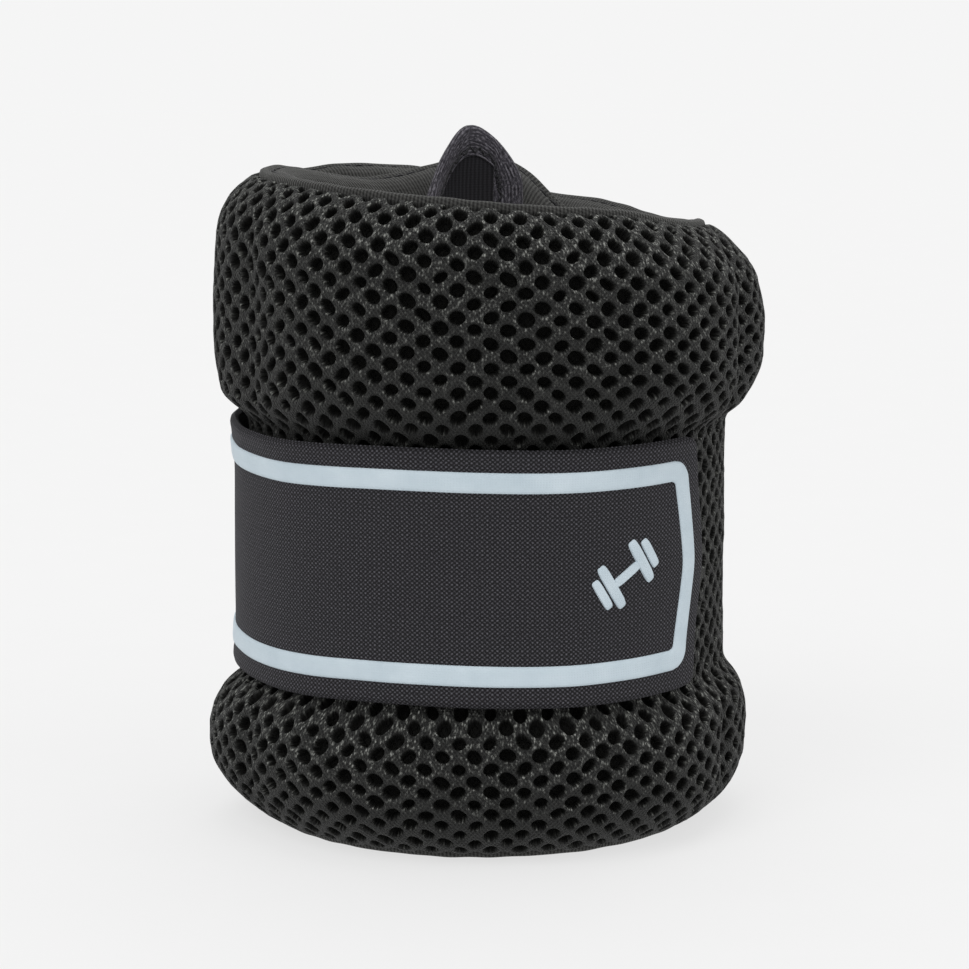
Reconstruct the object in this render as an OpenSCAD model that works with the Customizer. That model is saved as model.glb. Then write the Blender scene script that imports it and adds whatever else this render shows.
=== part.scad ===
// Soft rolled cuff weight, closed: a padded band wound 1.37 turns about +Z, standing on its lower edge,
// with a hook strap round its waist and a thin fabric tongue inside. Origin: roll axis, on the resting plane.

/* [Padded band] */
// Height of the cuff, which is the width of the band
cuff_h = 127; // [124:1:136]
// Outer radius of the closed roll
outer_r = 51; // [50.5:0.5:52]
// Outer radius of the inner lap
inner_r = 34.6; // [33.8:0.1:34.6]
// Thickness of a filled compartment
pad_t = 16; // [15.5:0.1:16]
// Thickness of the band's unfilled outer end
edge_t = 4.5; // [4:0.1:4.5]
// Thickness of the band's inner end
tail_t = 6; // [5.6:0.1:7]
// Depth of the waist that the strap presses into the padding
waist_in = 4; // [4:0.1:4.4]
// Thickness of the spacer-mesh cover
mesh_t = 2.2; // [1.8:0.1:2.4]
// Thickness of the liner
liner_t = 2.2; // [1.8:0.1:2.4]
// Height of the band's rounded edge
rim_h = 13; // [11:0.5:13]

/* [Strap] */
// Width of the strap
strap_w = 50; // [40:1:50]
// Height of the strap's middle above the resting plane
strap_z = 56; // [56:1:60]
// Thickness of the strap's webbing
web_t = 1.6; // [1.2:0.1:1.6]
// Thickness of the hook tape
hook_t = 0.66; // [0.4:0.02:0.66]
// Width of the printed border line
line_w = 4; // [2:0.5:5]
// Distance from the strap's edge to the border line
line_in = 4.3; // [3:0.1:6]

/* [Tongue] */
// Thickness of the tongue's fabric
tongue_t = 2; // [1.4:0.1:2]
// Width of the binding round the tongue's edge
hem_w = 6.5; // [4:0.5:8]
// Outer radius of the tongue where it lies along the roll's inside
tongue_r = 32; // [31:0.5:32.5]
// Outer radius of the tongue's loop
loop_r = 18; // [15:0.5:19]

/* [Hidden] */

spans = 10;   // straight spans in each arc
slit = 0.2;   // degrees trimmed from a piece where it meets the next

// Band angles are wrap angles, in degrees from the band's outer end, clockwise seen from above
end_az = 155;                                         // azimuth of the outer end
CHANNELS = [0, 48, 112, 176, 240, 304, 368, 432, 493];  // compartment k lies between k-1 and k
last = len(CHANNELS) - 1;
edge_span = [0, 45];               // the outer end thickens
lap_span = [325, 405];             // the band steps in to its inner lap
tail_span = [450, CHANNELS[last]]; // the inner end thins
bare_start = [24, CHANNELS[1]];    // the strap's pressure eases off
bare_end = [150, CHANNELS[3]];     // and comes back
edge_drop = 1.5;                   // the outer end lies this far inside outer_r
draw_t = 16;                       // thickness at which draws apply in full

// Rounded edge, as layers drawn in towards the rim
foot_h = 3;
foot_in = 4.5;
lip_h = 7;
lip_in = 2;
rim_in = 0.6;
cover_foot = foot_h + 0.2;
lip_t = mesh_t + 0.8;
cap_in = 1;       // inside draw of the liner's end caps
cap_z = 1.5;      // distance from the caps to the band's edges
overrun = 1.5;    // degrees that walls run past the sector that trims them
mid_gap = 0.1;    // least distance from a skin to the band's mid-surface

// Filling
fill_gap = 0.3;
fill_z0 = rim_h + 2;
fill_z1 = cuff_h - fill_z0;
waist_gap = 0.4;
pouch_t = 0.6;

strap_lo = strap_z - strap_w / 2;
strap_hi = strap_z + strap_w / 2;
waist_lo = strap_lo - 2;
waist_hi = strap_hi + 2;

// Cover layers: bottom, top, draw-in, skin thickness, extra skin at full thickness, pressed by strap
COVER_LAYERS = [
  [cover_foot, lip_h, lip_in, lip_t, 0, false],
  [lip_h, rim_h, rim_in, mesh_t, 0, false],
  [rim_h, waist_lo - mesh_t, 0, mesh_t, 0, false],
  [waist_lo - mesh_t, waist_lo, 0, mesh_t, waist_in, false],
  [waist_lo, waist_hi, waist_in, mesh_t, 0, true],
  [waist_hi, waist_hi + mesh_t, 0, mesh_t, waist_in, false],
  [waist_hi + mesh_t, cuff_h - rim_h, 0, mesh_t, 0, false],
  [cuff_h - rim_h, cuff_h - lip_h, rim_in, mesh_t, 0, false],
  [cuff_h - lip_h, cuff_h - cover_foot, lip_in, lip_t, 0, false]
];

// Strap angles count from the band's outer end too, but anticlockwise
STRAP = [-18, 8, 40, 72, 104, 136, 176];  // ends of the anchor, webs 1 to 4 and the tip
web_sink = 2.1;       // webbing's inner face below outer_r at the anchor
web_sink_more = 0.8;  // further sinking along sink_span
sink_span = [10, 60];
fold_end = -2;
film_t = 0.2;
film_gap = 0.02;
hook_gap = 0.08;
hook_in = 4;
stitch_t = 0.4;
tip_corner = 171;     // strap angle where the chevron starts
tip_run = 5.2;        // length of the chevron
tip_slope = tip_run / (strap_w / 2);

// Tongue angles are those it has turned, clockwise, from its first end
TONGUE = [0.7, 50, 128, 210, 292];
tongue_az = 22;      // azimuth at turn 0
loop_az = -70;       // azimuth where the loop starts
tongue_top = 134.5;  // heights of its sloping edges at the roll axis
tongue_bottom = 30.5;
tongue_climb = 0.55;
tall_az = 135;       // the tongue climbs towards this azimuth
below = 10;          // bottom of cutting slabs, clear of the tongue
joint_gap = 0.3;     // degrees
hem_t = 0.95;        // binding's stand-out on each face

cover_color = [0.09, 0.09, 0.1];
liner_color = [0.14, 0.14, 0.15];
pouch_color = [0.12, 0.12, 0.13];
shot_color = [0.42, 0.42, 0.44];
foam_color = [0.2, 0.2, 0.21];
web_color = [0.2, 0.2, 0.225];
fold_color = [0.1, 0.1, 0.11];
thread_color = [0.06, 0.06, 0.07];
print_color = [0.8, 0.87, 0.91];
hook_color = [0.09, 0.09, 0.1];
tongue_color = [0.11, 0.11, 0.12];
hem_color = [0.25, 0.235, 0.27];

// ---- Shared helpers ----

// smooth step from 0 to 1 as x crosses span
function ease(x, span) =
  let(t = min(max((x - span[0]) / (span[1] - span[0]), 0), 1)) t * t * (3 - 2 * t);
function arc(a0, a1) = [for (i = [0:spans]) a0 + (a1 - a0) * i / spans];
function at(r, a) = [r * cos(end_az - a), r * sin(end_az - a)];

// an upright wall between two rows of plan points
module wall(z0, z1, near, far)
  translate([0, 0, z0]) linear_extrude(z1 - z0)
    polygon(concat(near, [for (i = [len(far) - 1:-1:0]) far[i]]));

// turns x to the tangent at an azimuth (anticlockwise), y to up and z to radially outward
module upright(az)
  multmatrix([
    [-sin(az), 0, cos(az), 0],
    [cos(az), 0, sin(az), 0],
    [0, 1, 0, 0],
    [0, 0, 0, 1]
  ]) children();

// ---- Padded band ----

function r_out(a) = outer_r - edge_drop * (1 - ease(a, edge_span))
  - (outer_r - inner_r) * ease(a, lap_span);
function thick(a) = edge_t + (pad_t - edge_t) * ease(a, edge_span)
  - (pad_t - tail_t) * ease(a, tail_span);
function r_in(a) = r_out(a) - thick(a);
// share of a draw that applies at the local thickness
function share(a) = thick(a) / draw_t;
// how hard the waist is pressed in: fully under the strap, less where the band is bare
function press(a) = 1 - 0.55 * (ease(a, bare_start) - ease(a, bare_end));
// crown of a pouch along its compartment: 0 at the sewn channels, 1 in the middle
function crown(u) = ease(min(u, 1 - u), [0, 0.42]);

function start_of(k) = CHANNELS[k - 1] + (k > 1 ? slit : 0);
function end_of(k) = CHANNELS[k] - (k < last ? slit : 0);

// the band's whole thickness, its two faces drawn in
module slice(a0, a1, z0, z1, out_draw, in_draw)
  wall(z0, z1,
    [for (a = arc(a0, a1)) at(r_out(a) - out_draw * share(a), a)],
    [for (a = arc(a0, a1)) at(r_in(a) + in_draw * share(a), a)]);

// the outer skin; extra is added to its thickness in proportion to the band's
module outer_wall(a0, a1, z0, z1, draw, skin, extra, pressed) {
  function depth(a) = draw * share(a) * (pressed ? press(a) : 1);
  wall(z0, z1,
    [for (a = arc(a0, a1)) at(r_out(a) - depth(a), a)],
    [for (a = arc(a0, a1))
      at(r_out(a) - min(depth(a) + skin + extra * share(a), thick(a) / 2 - mid_gap), a)]);
}

module inner_wall(a0, a1, z0, z1, draw, skin)
  wall(z0, z1,
    [for (a = arc(a0, a1))
      at(r_out(a) - max(thick(a) - draw * share(a) - skin, thick(a) / 2 + mid_gap), a)],
    [for (a = arc(a0, a1)) at(r_in(a) + draw * share(a), a)]);

// the sector that a piece of the band fills, so that its two ends are true planes
module sector(a0, a1, reach = 90)
  translate([0, 0, -1]) linear_extrude(cuff_h + 2)
    polygon([[0, 0], at(reach, a0), at(reach, (a0 + a1) / 2), at(reach, a1)]);

// the mesh stops short of the liner's caps at the band's two ends
module mesh_cover(k) {
  a0 = start_of(k) + (k == 1 ? 2.9 : 0);
  a1 = end_of(k) - (k == last ? 4.2 : 0);
  color(cover_color) intersection() {
    union() for (layer = COVER_LAYERS)
      outer_wall(a0 - overrun, a1 + overrun, layer[0], layer[1],
        draw = layer[2], skin = layer[3], extra = layer[4], pressed = layer[5]);
    sector(a0, a1);
  }
}

module liner_edge(a0, a1) {
  slice(a0, a1, 0, foot_h, foot_in, foot_in);
  inner_wall(a0, a1, foot_h, lip_h, lip_in, skin = 3.2);
  inner_wall(a0, a1, lip_h, rim_h, rim_in, skin = liner_t + 0.3);
}

module end_cap(a0, a1) slice(a0, a1, cap_z, cuff_h - cap_z, foot_in, cap_in);

module liner(k) {
  a0 = start_of(k) - overrun;
  a1 = end_of(k) + overrun;
  color(liner_color) intersection() {
    union() {
      liner_edge(a0, a1);
      inner_wall(a0, a1, rim_h, cuff_h - rim_h, 0, liner_t);
      translate([0, 0, cuff_h]) mirror([0, 0, 1]) liner_edge(a0, a1);
      if (k == 1) end_cap(-overrun, 2.6);
      if (k == last) end_cap(CHANNELS[last] - 3.8, CHANNELS[last] + overrun);
    }
    sector(start_of(k), end_of(k));
  }
}

// a lens of the compartment, drawn in by inset on every side
module lens(k, inset, z0, z1, draw) {
  margin = 3 + inset * 1.4;  // degrees from the compartment's ends
  angles = arc(start_of(k) + margin, end_of(k) - margin);
  out_gap = draw + mesh_t + fill_gap + inset;
  in_gap = liner_t + fill_gap + inset;
  wall(z0, z1,
    [for (j = [0:spans])
      at(r_out(angles[j]) - out_gap - 2.4 * (1 - crown(j / spans)), angles[j])],
    [for (j = [0:spans])
      at(r_in(angles[j]) + in_gap + 0.6 * (1 - crown(j / spans)), angles[j])]);
}

module pouch_body(k, inset) {
  z_low = waist_lo - mesh_t - waist_gap - inset;
  z_high = waist_hi + mesh_t + waist_gap + inset;
  lens(k, inset, fill_z0 + inset, z_low, draw = 0);
  lens(k, inset, z_low, z_high, draw = waist_in);
  lens(k, inset, z_high, fill_z1 - inset, draw = 0);
}

module shot_pouch(k) color(pouch_color) difference() {
  pouch_body(k, 0);
  pouch_body(k, pouch_t);
}

module steel_shot(k) color(shot_color) pouch_body(k, pouch_t + 0.1);

// flat filling of the two end compartments
module foam_pad(k) {
  angles = k == 1 ? arc(16, end_of(1) - 2) : arc(start_of(last) + 2, 476);
  color(foam_color) wall(fill_z0, fill_z1,
    [for (a = angles) at(r_out(a) - waist_in * share(a) - mesh_t - waist_gap, a)],
    [for (a = angles) at(r_in(a) + liner_t + fill_gap, a)]);
}

// ---- Strap ----

// inner radius of the webbing
function r_web(b) = outer_r - web_sink - web_sink_more * ease(b, sink_span);
// strap piece k, counted from 0 at the anchor
function strap_from(k) = STRAP[k] + (k > 0 ? slit : 0);
function strap_to(k) = STRAP[k + 1] - slit;

// a ring piece between two offsets from the webbing's inner face
module ring(b0, b1, z0, z1, near, far)
  wall(z0, z1,
    [for (b = arc(b0, b1)) at(r_web(b) + near, -b)],
    [for (b = arc(b0, b1)) at(r_web(b) + far, -b)]);

module webbing(b0, b1) ring(b0, b1, strap_lo, strap_hi, 0, web_t);

// a printed film on the webbing's outer face
module film(b0, b1, z0, z1) ring(b0, b1, z0, z1, web_t + film_gap, web_t + film_gap + film_t);

module strap_web(k) color(web_color) webbing(strap_from(k), strap_to(k));

// two border lines; the anchor's start just past the fold
module border(k) color(print_color) for (side = [-1, 1]) {
  middle = strap_z + side * (strap_w / 2 - line_in - line_w / 2);
  film(k == 0 ? fold_end + 0.2 : strap_from(k), strap_to(k),
    middle - line_w / 2, middle + line_w / 2);
}

// a blunt chevron, cut square to the webbing at its corner, its outline drawn inward by inset
module tip_outline(inset) {
  z0 = strap_lo + inset;
  z1 = strap_hi - inset;
  slant = inset * sqrt(1 + tip_slope * tip_slope);
  shoulder = inset * tip_slope - slant;
  nose = tip_run - slant;
  chamfer = inset > 1 ? 1 : 3;
  nose_half = 2;
  tail = -40;
  upright(end_az + tip_corner)
    translate([0, 0, r_web(tip_corner) - 12]) linear_extrude(24) polygon([
      [tail, z0], [shoulder - chamfer, z0], [shoulder, z0 + chamfer],
      [nose, strap_z - nose_half], [nose, strap_z + nose_half],
      [shoulder, z1 - chamfer], [shoulder - chamfer, z1], [tail, z1]
    ]);
}

module strap_tip() color(web_color) intersection() {
  webbing(strap_from(5), STRAP[6] + 3);
  tip_outline(0);
}

module border_tip() color(print_color) intersection() {
  film(strap_from(5), STRAP[6] + 3, strap_lo, strap_hi);
  difference() {
    tip_outline(line_in);
    tip_outline(line_in + line_w);
  }
}

module strap_fold() color(fold_color)
  ring(STRAP[0], fold_end, strap_lo, strap_hi, web_t + film_gap, 2 * web_t);

// two upright rows of stitches on the fold
module strap_stitching(pitch = 4.2, half_length = 1.6, half_width = 0.45)
  color(thread_color) for (b = [-16, -4.5], j = [-5:5]) {
    z = strap_z + j * pitch;
    ring(b - half_width, b + half_width, z - half_length, z + half_length,
      2 * web_t + film_gap, 2 * web_t + film_gap + stitch_t);
  }

module hook_tape(b0, b1) color(hook_color)
  ring(b0, b1, strap_lo + hook_in, strap_hi - hook_in, -hook_t, -hook_gap);

// a small dumbbell: one bar and four plates. Columns: start angle, end angle, half height
module dumbbell_print() color(print_color)
  for (part = [
    [142, 156, 0.8],
    [144, 146, 4.6], [152, 154, 4.6],
    [142.6, 144.2, 3], [153.8, 155.4, 3]
  ]) film(part[0], part[1], strap_z - part[2], strap_z + part[2]);

// ---- Tongue ----

// the tongue follows the inner lap's curve, then loops back inside the hollow
function tongue_point(turn, offset) =
  let(
    az = tongue_az - turn,
    looped = az < loop_az,
    centre = looped ? tongue_r - loop_r : 0,
    r = (looped ? loop_r : tongue_r) + offset
  )
  [centre * cos(loop_az) + r * cos(az), centre * sin(loop_az) + r * sin(az)];

module tongue_ring(turn0, turn1, near, far)
  wall(-20, 180,
    [for (turn = arc(turn0, turn1)) tongue_point(turn, far)],
    [for (turn = arc(turn0, turn1)) tongue_point(turn, near)]);

// a slab between two sloping faces, the top one lowered by top_in
module tongue_slab(top_in, bottom, reach = 45) {
  rise = reach * tongue_climb;
  top = tongue_top - top_in;
  upright(tall_az - 90) translate([0, 0, -60]) linear_extrude(120) polygon([
    [-reach, bottom - rise], [reach, bottom + rise],
    [reach, top + rise], [-reach, top - rise]
  ]);
}

module tongue_panel(k) color(tongue_color) intersection() {
  tongue_ring(TONGUE[k - 1] + joint_gap, TONGUE[k] - (k < 4 ? joint_gap : 3.4), -tongue_t, 0);
  tongue_slab(1, tongue_bottom);
}

// binding along the top edge; piece 4 also runs down the tongue's free end
module tongue_hem(k) color(hem_color) difference() {
  intersection() {
    tongue_ring(TONGUE[k - 1] + joint_gap, TONGUE[k] - (k < 4 ? joint_gap : 0),
      -tongue_t - hem_t, hem_t);
    difference() {
      tongue_slab(0, tongue_bottom);
      if (k < 4) tongue_slab(hem_w, below);
      else intersection() {
        tongue_slab(hem_w, below);
        // 3.2 degrees of the loop per mm of hem
        tongue_ring(200, TONGUE[4] - hem_w * 3.2, -8, 8);
      }
    }
  }
  // slot for the panel
  intersection() {
    tongue_ring(TONGUE[k - 1] - 5, TONGUE[k] + (k < 4 ? 5 : -3.2), -tongue_t - 0.2, 0.2);
    tongue_slab(0.75, below);
  }
}

mesh_cover(1);  // mesh_cover_1
mesh_cover(2);  // mesh_cover_2
mesh_cover(3);  // mesh_cover_3
mesh_cover(4);  // mesh_cover_4
mesh_cover(5);  // mesh_cover_5
mesh_cover(6);  // mesh_cover_6
mesh_cover(7);  // mesh_cover_7
mesh_cover(8);  // mesh_cover_8
liner(1);  // liner_1
liner(2);  // liner_2
liner(3);  // liner_3
liner(4);  // liner_4
liner(5);  // liner_5
liner(6);  // liner_6
liner(7);  // liner_7
liner(8);  // liner_8
shot_pouch(2);  // shot_pouch_2
shot_pouch(3);  // shot_pouch_3
shot_pouch(4);  // shot_pouch_4
shot_pouch(5);  // shot_pouch_5
shot_pouch(6);  // shot_pouch_6
shot_pouch(7);  // shot_pouch_7
steel_shot(2);  // steel_shot_2
steel_shot(3);  // steel_shot_3
steel_shot(4);  // steel_shot_4
steel_shot(5);  // steel_shot_5
steel_shot(6);  // steel_shot_6
steel_shot(7);  // steel_shot_7
foam_pad(1);  // foam_pad_1
foam_pad(8);  // foam_pad_8
strap_web(0);  // strap_anchor
strap_fold();
strap_stitching();
strap_web(1);  // strap_web_1
strap_web(2);  // strap_web_2
strap_web(3);  // strap_web_3
strap_web(4);  // strap_web_4
strap_tip();
border(0);  // border_anchor
border(1);  // border_1
border(2);  // border_2
border(3);  // border_3
border(4);  // border_4
border_tip();
hook_tape(STRAP[4] + 1.5, STRAP[5] - 0.8);  // hook_tape_4
hook_tape(STRAP[5] + 0.8, 168);  // hook_tape_tip
dumbbell_print();
tongue_panel(1);  // tongue_panel_1
tongue_panel(2);  // tongue_panel_2
tongue_panel(3);  // tongue_panel_3
tongue_panel(4);  // tongue_panel_4
tongue_hem(1);  // tongue_hem_1
tongue_hem(2);  // tongue_hem_2
tongue_hem(3);  // tongue_hem_3
tongue_hem(4);  // tongue_hem_4
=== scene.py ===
# A weighted cuff, rolled up and standing on its lower rim at z = 0, with the Z axis inside the roll.
# Seen from above, the padded band winds clockwise and inwards from its outer end, at 155 degrees
# from +X. A strap runs the other way round its waist, and a thin tongue goes on from its inner
# end. The front is -Y. Shapes are in millimetres and degrees; build() turns them into metres.
import math

import bpy
import numpy as np
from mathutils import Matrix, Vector


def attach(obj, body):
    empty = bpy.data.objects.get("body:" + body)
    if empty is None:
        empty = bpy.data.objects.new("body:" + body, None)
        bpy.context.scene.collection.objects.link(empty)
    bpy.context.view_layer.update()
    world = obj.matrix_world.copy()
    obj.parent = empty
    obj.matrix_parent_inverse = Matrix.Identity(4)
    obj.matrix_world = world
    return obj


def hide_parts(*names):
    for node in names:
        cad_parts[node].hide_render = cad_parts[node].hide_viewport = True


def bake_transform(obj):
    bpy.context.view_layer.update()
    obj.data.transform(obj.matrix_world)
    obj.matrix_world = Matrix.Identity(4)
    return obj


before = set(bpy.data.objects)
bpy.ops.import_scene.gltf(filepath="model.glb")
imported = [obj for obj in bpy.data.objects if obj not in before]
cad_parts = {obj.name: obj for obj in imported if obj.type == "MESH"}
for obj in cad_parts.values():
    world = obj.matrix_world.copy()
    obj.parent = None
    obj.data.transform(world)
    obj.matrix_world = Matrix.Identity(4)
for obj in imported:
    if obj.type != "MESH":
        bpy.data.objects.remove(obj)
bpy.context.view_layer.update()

MM = 0.001
UV_SCALE = 0.1  # millimetres to the texture unit of 1 cm

# ---------------------------------------------------------------- driving dimensions
HEIGHT = 127.0
OUTER_END = 155  # direction of the band's outer end
BAND_END = 493  # turn at which the band's inner end lies
INNER_END = OUTER_END - BAND_END + 360  # direction of that end, where the tongue starts
CHANNELS = [0, *range(48, 433, 64), BAND_END]  # turns of the sewn channels between the segments
MIDDLES = [(low + high) / 2 for low, high in zip(CHANNELS, CHANNELS[1:])]
PIECES = range(1, 8)  # pieces of the band, each bending over one channel
END_THICK, FULL_THICK = 4.5, 16
OUT_CORNER, IN_TOP_CORNER, IN_LOW_CORNER = 9.0, 20.0, 9.0  # corner radii of the band's two ends
OUT_SHOULDER, IN_SHOULDER = 12.0, 10.0  # heights of the rims' roundings
LINER_LAP = 1.9  # from the crest to the liner's edge on the outer face

STRAP_Z, STRAP_WIDTH, WEB_THICK = 56.0, 50.0, 1.6
STRAP_CUTS = [-18, 24, 56, 88, 120]  # turns where the strap's pieces start
TIP_TURN, TIP_RUN = 171.0, 5.2  # where the tip starts, and how far its point stands out
PRINT_BASE, PRINT_THICK = 1.66, 0.34  # height above the webbing's inner face, and thickness

TONGUE_CUTS = [-9, 25, 89, 169, 304]  # turns where the tongue's pieces start, and its end
TONGUE_RADIUS, CURL_RADIUS = 32, 18  # the tongue's near part, and its tighter far part
CURL_FROM = -70  # direction at which the tighter part starts
TONGUE_MID = -1.0  # offset of the sheet's middle from those radii


# ---------------------------------------------------------------- small helpers
def rise(value, start, width):
    """smooth step from 0 at start to 1 at start + width"""
    part = np.clip((value - start) / width, 0, 1)
    return part * part * (3 - 2 * part)


def fall(value, start, width):
    return 1 - rise(value, start, width)


def bell(value, centre, width):
    return np.exp(-((value - centre) / width) ** 2)


def waves(u, v, seed, size, count=8):
    """smooth seeded unevenness, about -1..1"""
    rng = np.random.default_rng(seed)
    total = 0
    for _ in range(count):
        turn = rng.uniform(0, math.pi)
        pitch = 2 * math.pi / (size * rng.uniform(0.7, 1.6))
        phase = rng.uniform(0, 6.28)
        total = total + np.sin(pitch * (u * math.cos(turn) + v * math.sin(turn)) + phase)
    return total / count * 1.8


def unit(vectors):
    return vectors / np.maximum(np.linalg.norm(vectors, axis=-1, keepdims=True), 1e-12)


def polar(radius, degrees, z):
    turn = np.radians(degrees)
    return np.stack(np.broadcast_arrays(radius * np.cos(turn), radius * np.sin(turn), z), -1)


def grid(rows, columns):
    return np.meshgrid(rows, columns, indexing="ij")


def along(steps):
    """running total of the steps, from 0"""
    return np.concatenate([[0], np.cumsum(steps)])


def arc_lookup(low, high, step, radius):
    """length from turn, and turn from length, along a curve whose radius depends on the turn"""
    turns = np.arange(low, high + 0.01, step)
    lengths = along(np.radians(step) * radius((turns[1:] + turns[:-1]) / 2))
    lengths -= np.interp(0, turns, lengths)

    def length_at(turn):
        return np.interp(turn, turns, lengths)

    def turn_at(length):
        return np.interp(length, lengths, turns)

    return length_at, turn_at


def corner_drop(distance, radius):
    """how far a rounded corner draws back, at a distance from the end"""
    distance = np.clip(distance, 0, radius)
    return radius - np.sqrt(np.maximum(radius * radius - (radius - distance) ** 2, 0))


def edge_round(distance, width, depth):
    """how far a sheet's rounded edge falls, at a distance from the edge"""
    part = np.clip(distance / width, 0, 1)
    return depth * (1 - np.sqrt(1 - (1 - part) ** 2))


def surface_normal(surface, u, v, step=0.3):
    """normal of surface(u, v): outward where u runs clockwise round the roll and v upwards"""
    du = surface(u + step, v) - surface(u - step, v)
    dv = surface(u, v + step) - surface(u, v - step)
    return unit(np.cross(dv, du))


# ---------------------------------------------------------------- the roll's spiral
def outer_radius(turn):
    return 51 - 1.5 * fall(turn, 0, 45) - 16.4 * rise(turn, 325, 80)


def thickness(turn):
    return END_THICK + (FULL_THICK - END_THICK) * rise(turn, 0, 45) - 10 * rise(turn, 450, 43)


x_at, turn_at = arc_lookup(-40, 540, 0.25, outer_radius)
LENGTH = float(x_at(BAND_END))
PIECE_CUTS = [float(x_at(turn)) for turn in MIDDLES[1:7]]


def band(turn, z, depth):
    """a point of the band, depth below its outer face"""
    flare = 2.4 * fall(turn, -1, 15) * rise(z, 96, 18)  # the outer end's upper corner stands off
    return polar(outer_radius(turn) - depth + flare, OUTER_END - turn, z)


def settle(x, z):
    """how far the rims rise or sink: the outer lap leans, the inner lap rises and sags"""
    turn = turn_at(x)
    east = np.cos(np.radians(OUTER_END - turn))
    # high on the left, low on the right and at the back right
    lean = -3.6 * east - 2.6 * rise(east, 0.55, 0.45) - 3.4 * rise(turn, 40, 45) * fall(turn, 112, 60)
    lean = lean * fall(turn, 340, 40) * rise(turn, -8, 40)
    # up behind, then down towards the inner end
    inner_lap = 3.6 * rise(turn, 372, 48) - 14.0 * rise(turn, 432, 48)
    return (inner_lap + lean) * rise(z, 72, 52) + 0.95 * fall(z, 0, 20)


def place(x, z):
    """height after the ends' rounded corners draw the rims in and the laps settle"""
    start = corner_drop(x, OUT_CORNER)
    top = start + corner_drop(LENGTH - x, IN_TOP_CORNER)
    low = start + corner_drop(LENGTH - x, IN_LOW_CORNER)
    part = (z - HEIGHT / 2) / (HEIGHT / 2)
    return z - np.clip(part, 0, 1) * top + np.clip(-part, 0, 1) * low + settle(x, z)


# ---------------------------------------------------------------- section of the roll
def profile(shoulder):
    """arc length, closeness to the crest (1) and height, from the bottom crest to the top one"""
    turn = np.linspace(0, math.pi / 2, 240)
    crest = 1 - np.sin(turn)
    z = shoulder * (1 - np.cos(turn))
    arc = along(np.hypot(FULL_THICK / 2 * np.diff(crest), np.diff(z)))
    top = arc[-1] + (HEIGHT - 2 * shoulder)
    return (
        np.concatenate([arc, top + arc[-1] - arc[::-1]]),
        np.concatenate([crest, crest[::-1]]),
        np.concatenate([z, HEIGHT - z[::-1]]),
    )


OUT_ARC, OUT_CREST, OUT_Z = profile(OUT_SHOULDER)
IN_ARC, IN_CREST, IN_Z = profile(IN_SHOULDER)
OUT_SPAN, IN_SPAN = float(OUT_ARC[-1]), float(IN_ARC[-1])


def waist(z):
    """1 where the strap draws the band in"""
    return rise(z, 25.2, 6.3) * fall(z, 80.5, 6.3)


def pillow(turn):
    """0 at the sewn channels, 1 between them"""
    index = np.clip(np.searchsorted(CHANNELS, turn, side="right") - 1, 0, 7)
    low, high = np.array(CHANNELS)[index], np.array(CHANNELS)[index + 1]
    return np.abs(np.sin(np.pi * np.clip((turn - low) / (high - low), 0, 1)))


cloth_fields = {}  # side: (displacement grid, step along the band, step up the section)


def cloth_offset(side, x, arc):
    """the cloth simulation's displacement, read smoothly (Catmull-Rom) from its coarse grid"""
    if side not in cloth_fields:
        return 0.0
    values, x_step, arc_step = cloth_fields[side]

    def cell_and_weights(position, count):
        position = np.clip(position, 1, count - 2.001)
        cell = position.astype(int)
        part = position - cell
        return cell, (
            -0.5 * part + part * part - 0.5 * part ** 3,
            1 - 2.5 * part * part + 1.5 * part ** 3,
            0.5 * part + 2 * part * part - 1.5 * part ** 3,
            -0.5 * part * part + 0.5 * part ** 3,
        )

    column, x_weights = cell_and_weights(x / x_step, values.shape[0])
    row, arc_weights = cell_and_weights(arc / arc_step, values.shape[1])
    total = 0
    for i, x_weight in enumerate(x_weights):
        for j, arc_weight in enumerate(arc_weights):
            total = total + x_weight * arc_weight * values[column + i - 1, row + j - 1]
    return total


def swell(turn, z, x, arc):
    """how far the outer face bulges above and below the waist, where no lap lies on it"""
    east = np.cos(np.radians(OUTER_END - turn))
    high = rise(z, 82, 15) * (1 - 0.75 * rise(z, 102, 24))
    low = (1 - 0.75 * fall(z, 0, 16)) * fall(z, 18, 13)
    bulge = high * (1.75 + 1.35 * east) + low * (1.25 - 1.05 * east)
    bulge = bulge + (high + low + 0.25) * 0.75 * pillow(turn) ** 0.8
    bulge = bulge + 0.42 * (1 + waves(x, arc, 3, 34)) * (0.3 + high + low)
    bulge = bulge + 0.12 * waves(x, arc, 5, 13)
    loose = rise(turn, -4, 34) * fall(turn, 330, 27)
    return (bulge + cloth_offset("out", x, arc)) * loose


def outer(x, arc):
    """the band's outer face: x along the band, arc up its section"""
    turn = turn_at(x)
    crest, z = np.interp(arc, OUT_ARC, OUT_CREST), np.interp(arc, OUT_ARC, OUT_Z)
    press = 1 - 0.55 * (rise(turn, 24, 24) - rise(turn, 150, 26))
    squeeze = 4 * (thickness(turn) / FULL_THICK) * press * waist(z)
    depth = thickness(turn) / 2 * crest + squeeze - swell(turn, z, x, arc) * (1 - crest)
    return band(turn, place(x, z), depth)


def lobes(turn, z):
    """the liner's buckled folds on the inside of the roll"""
    room = rise(turn, 136, 12) * (1.3 + 0.9 * rise(turn, 226, 20))
    tall = rise(z, 3, 16) * fall(z, 108, 16)
    crease = np.clip(0.5 + waves(x_at(turn) * 1.25, z * 0.55, 21, 26), 0, 1)
    return room * (0.55 * pillow(turn) ** 0.6 + 0.45 * crease) * tall


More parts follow.
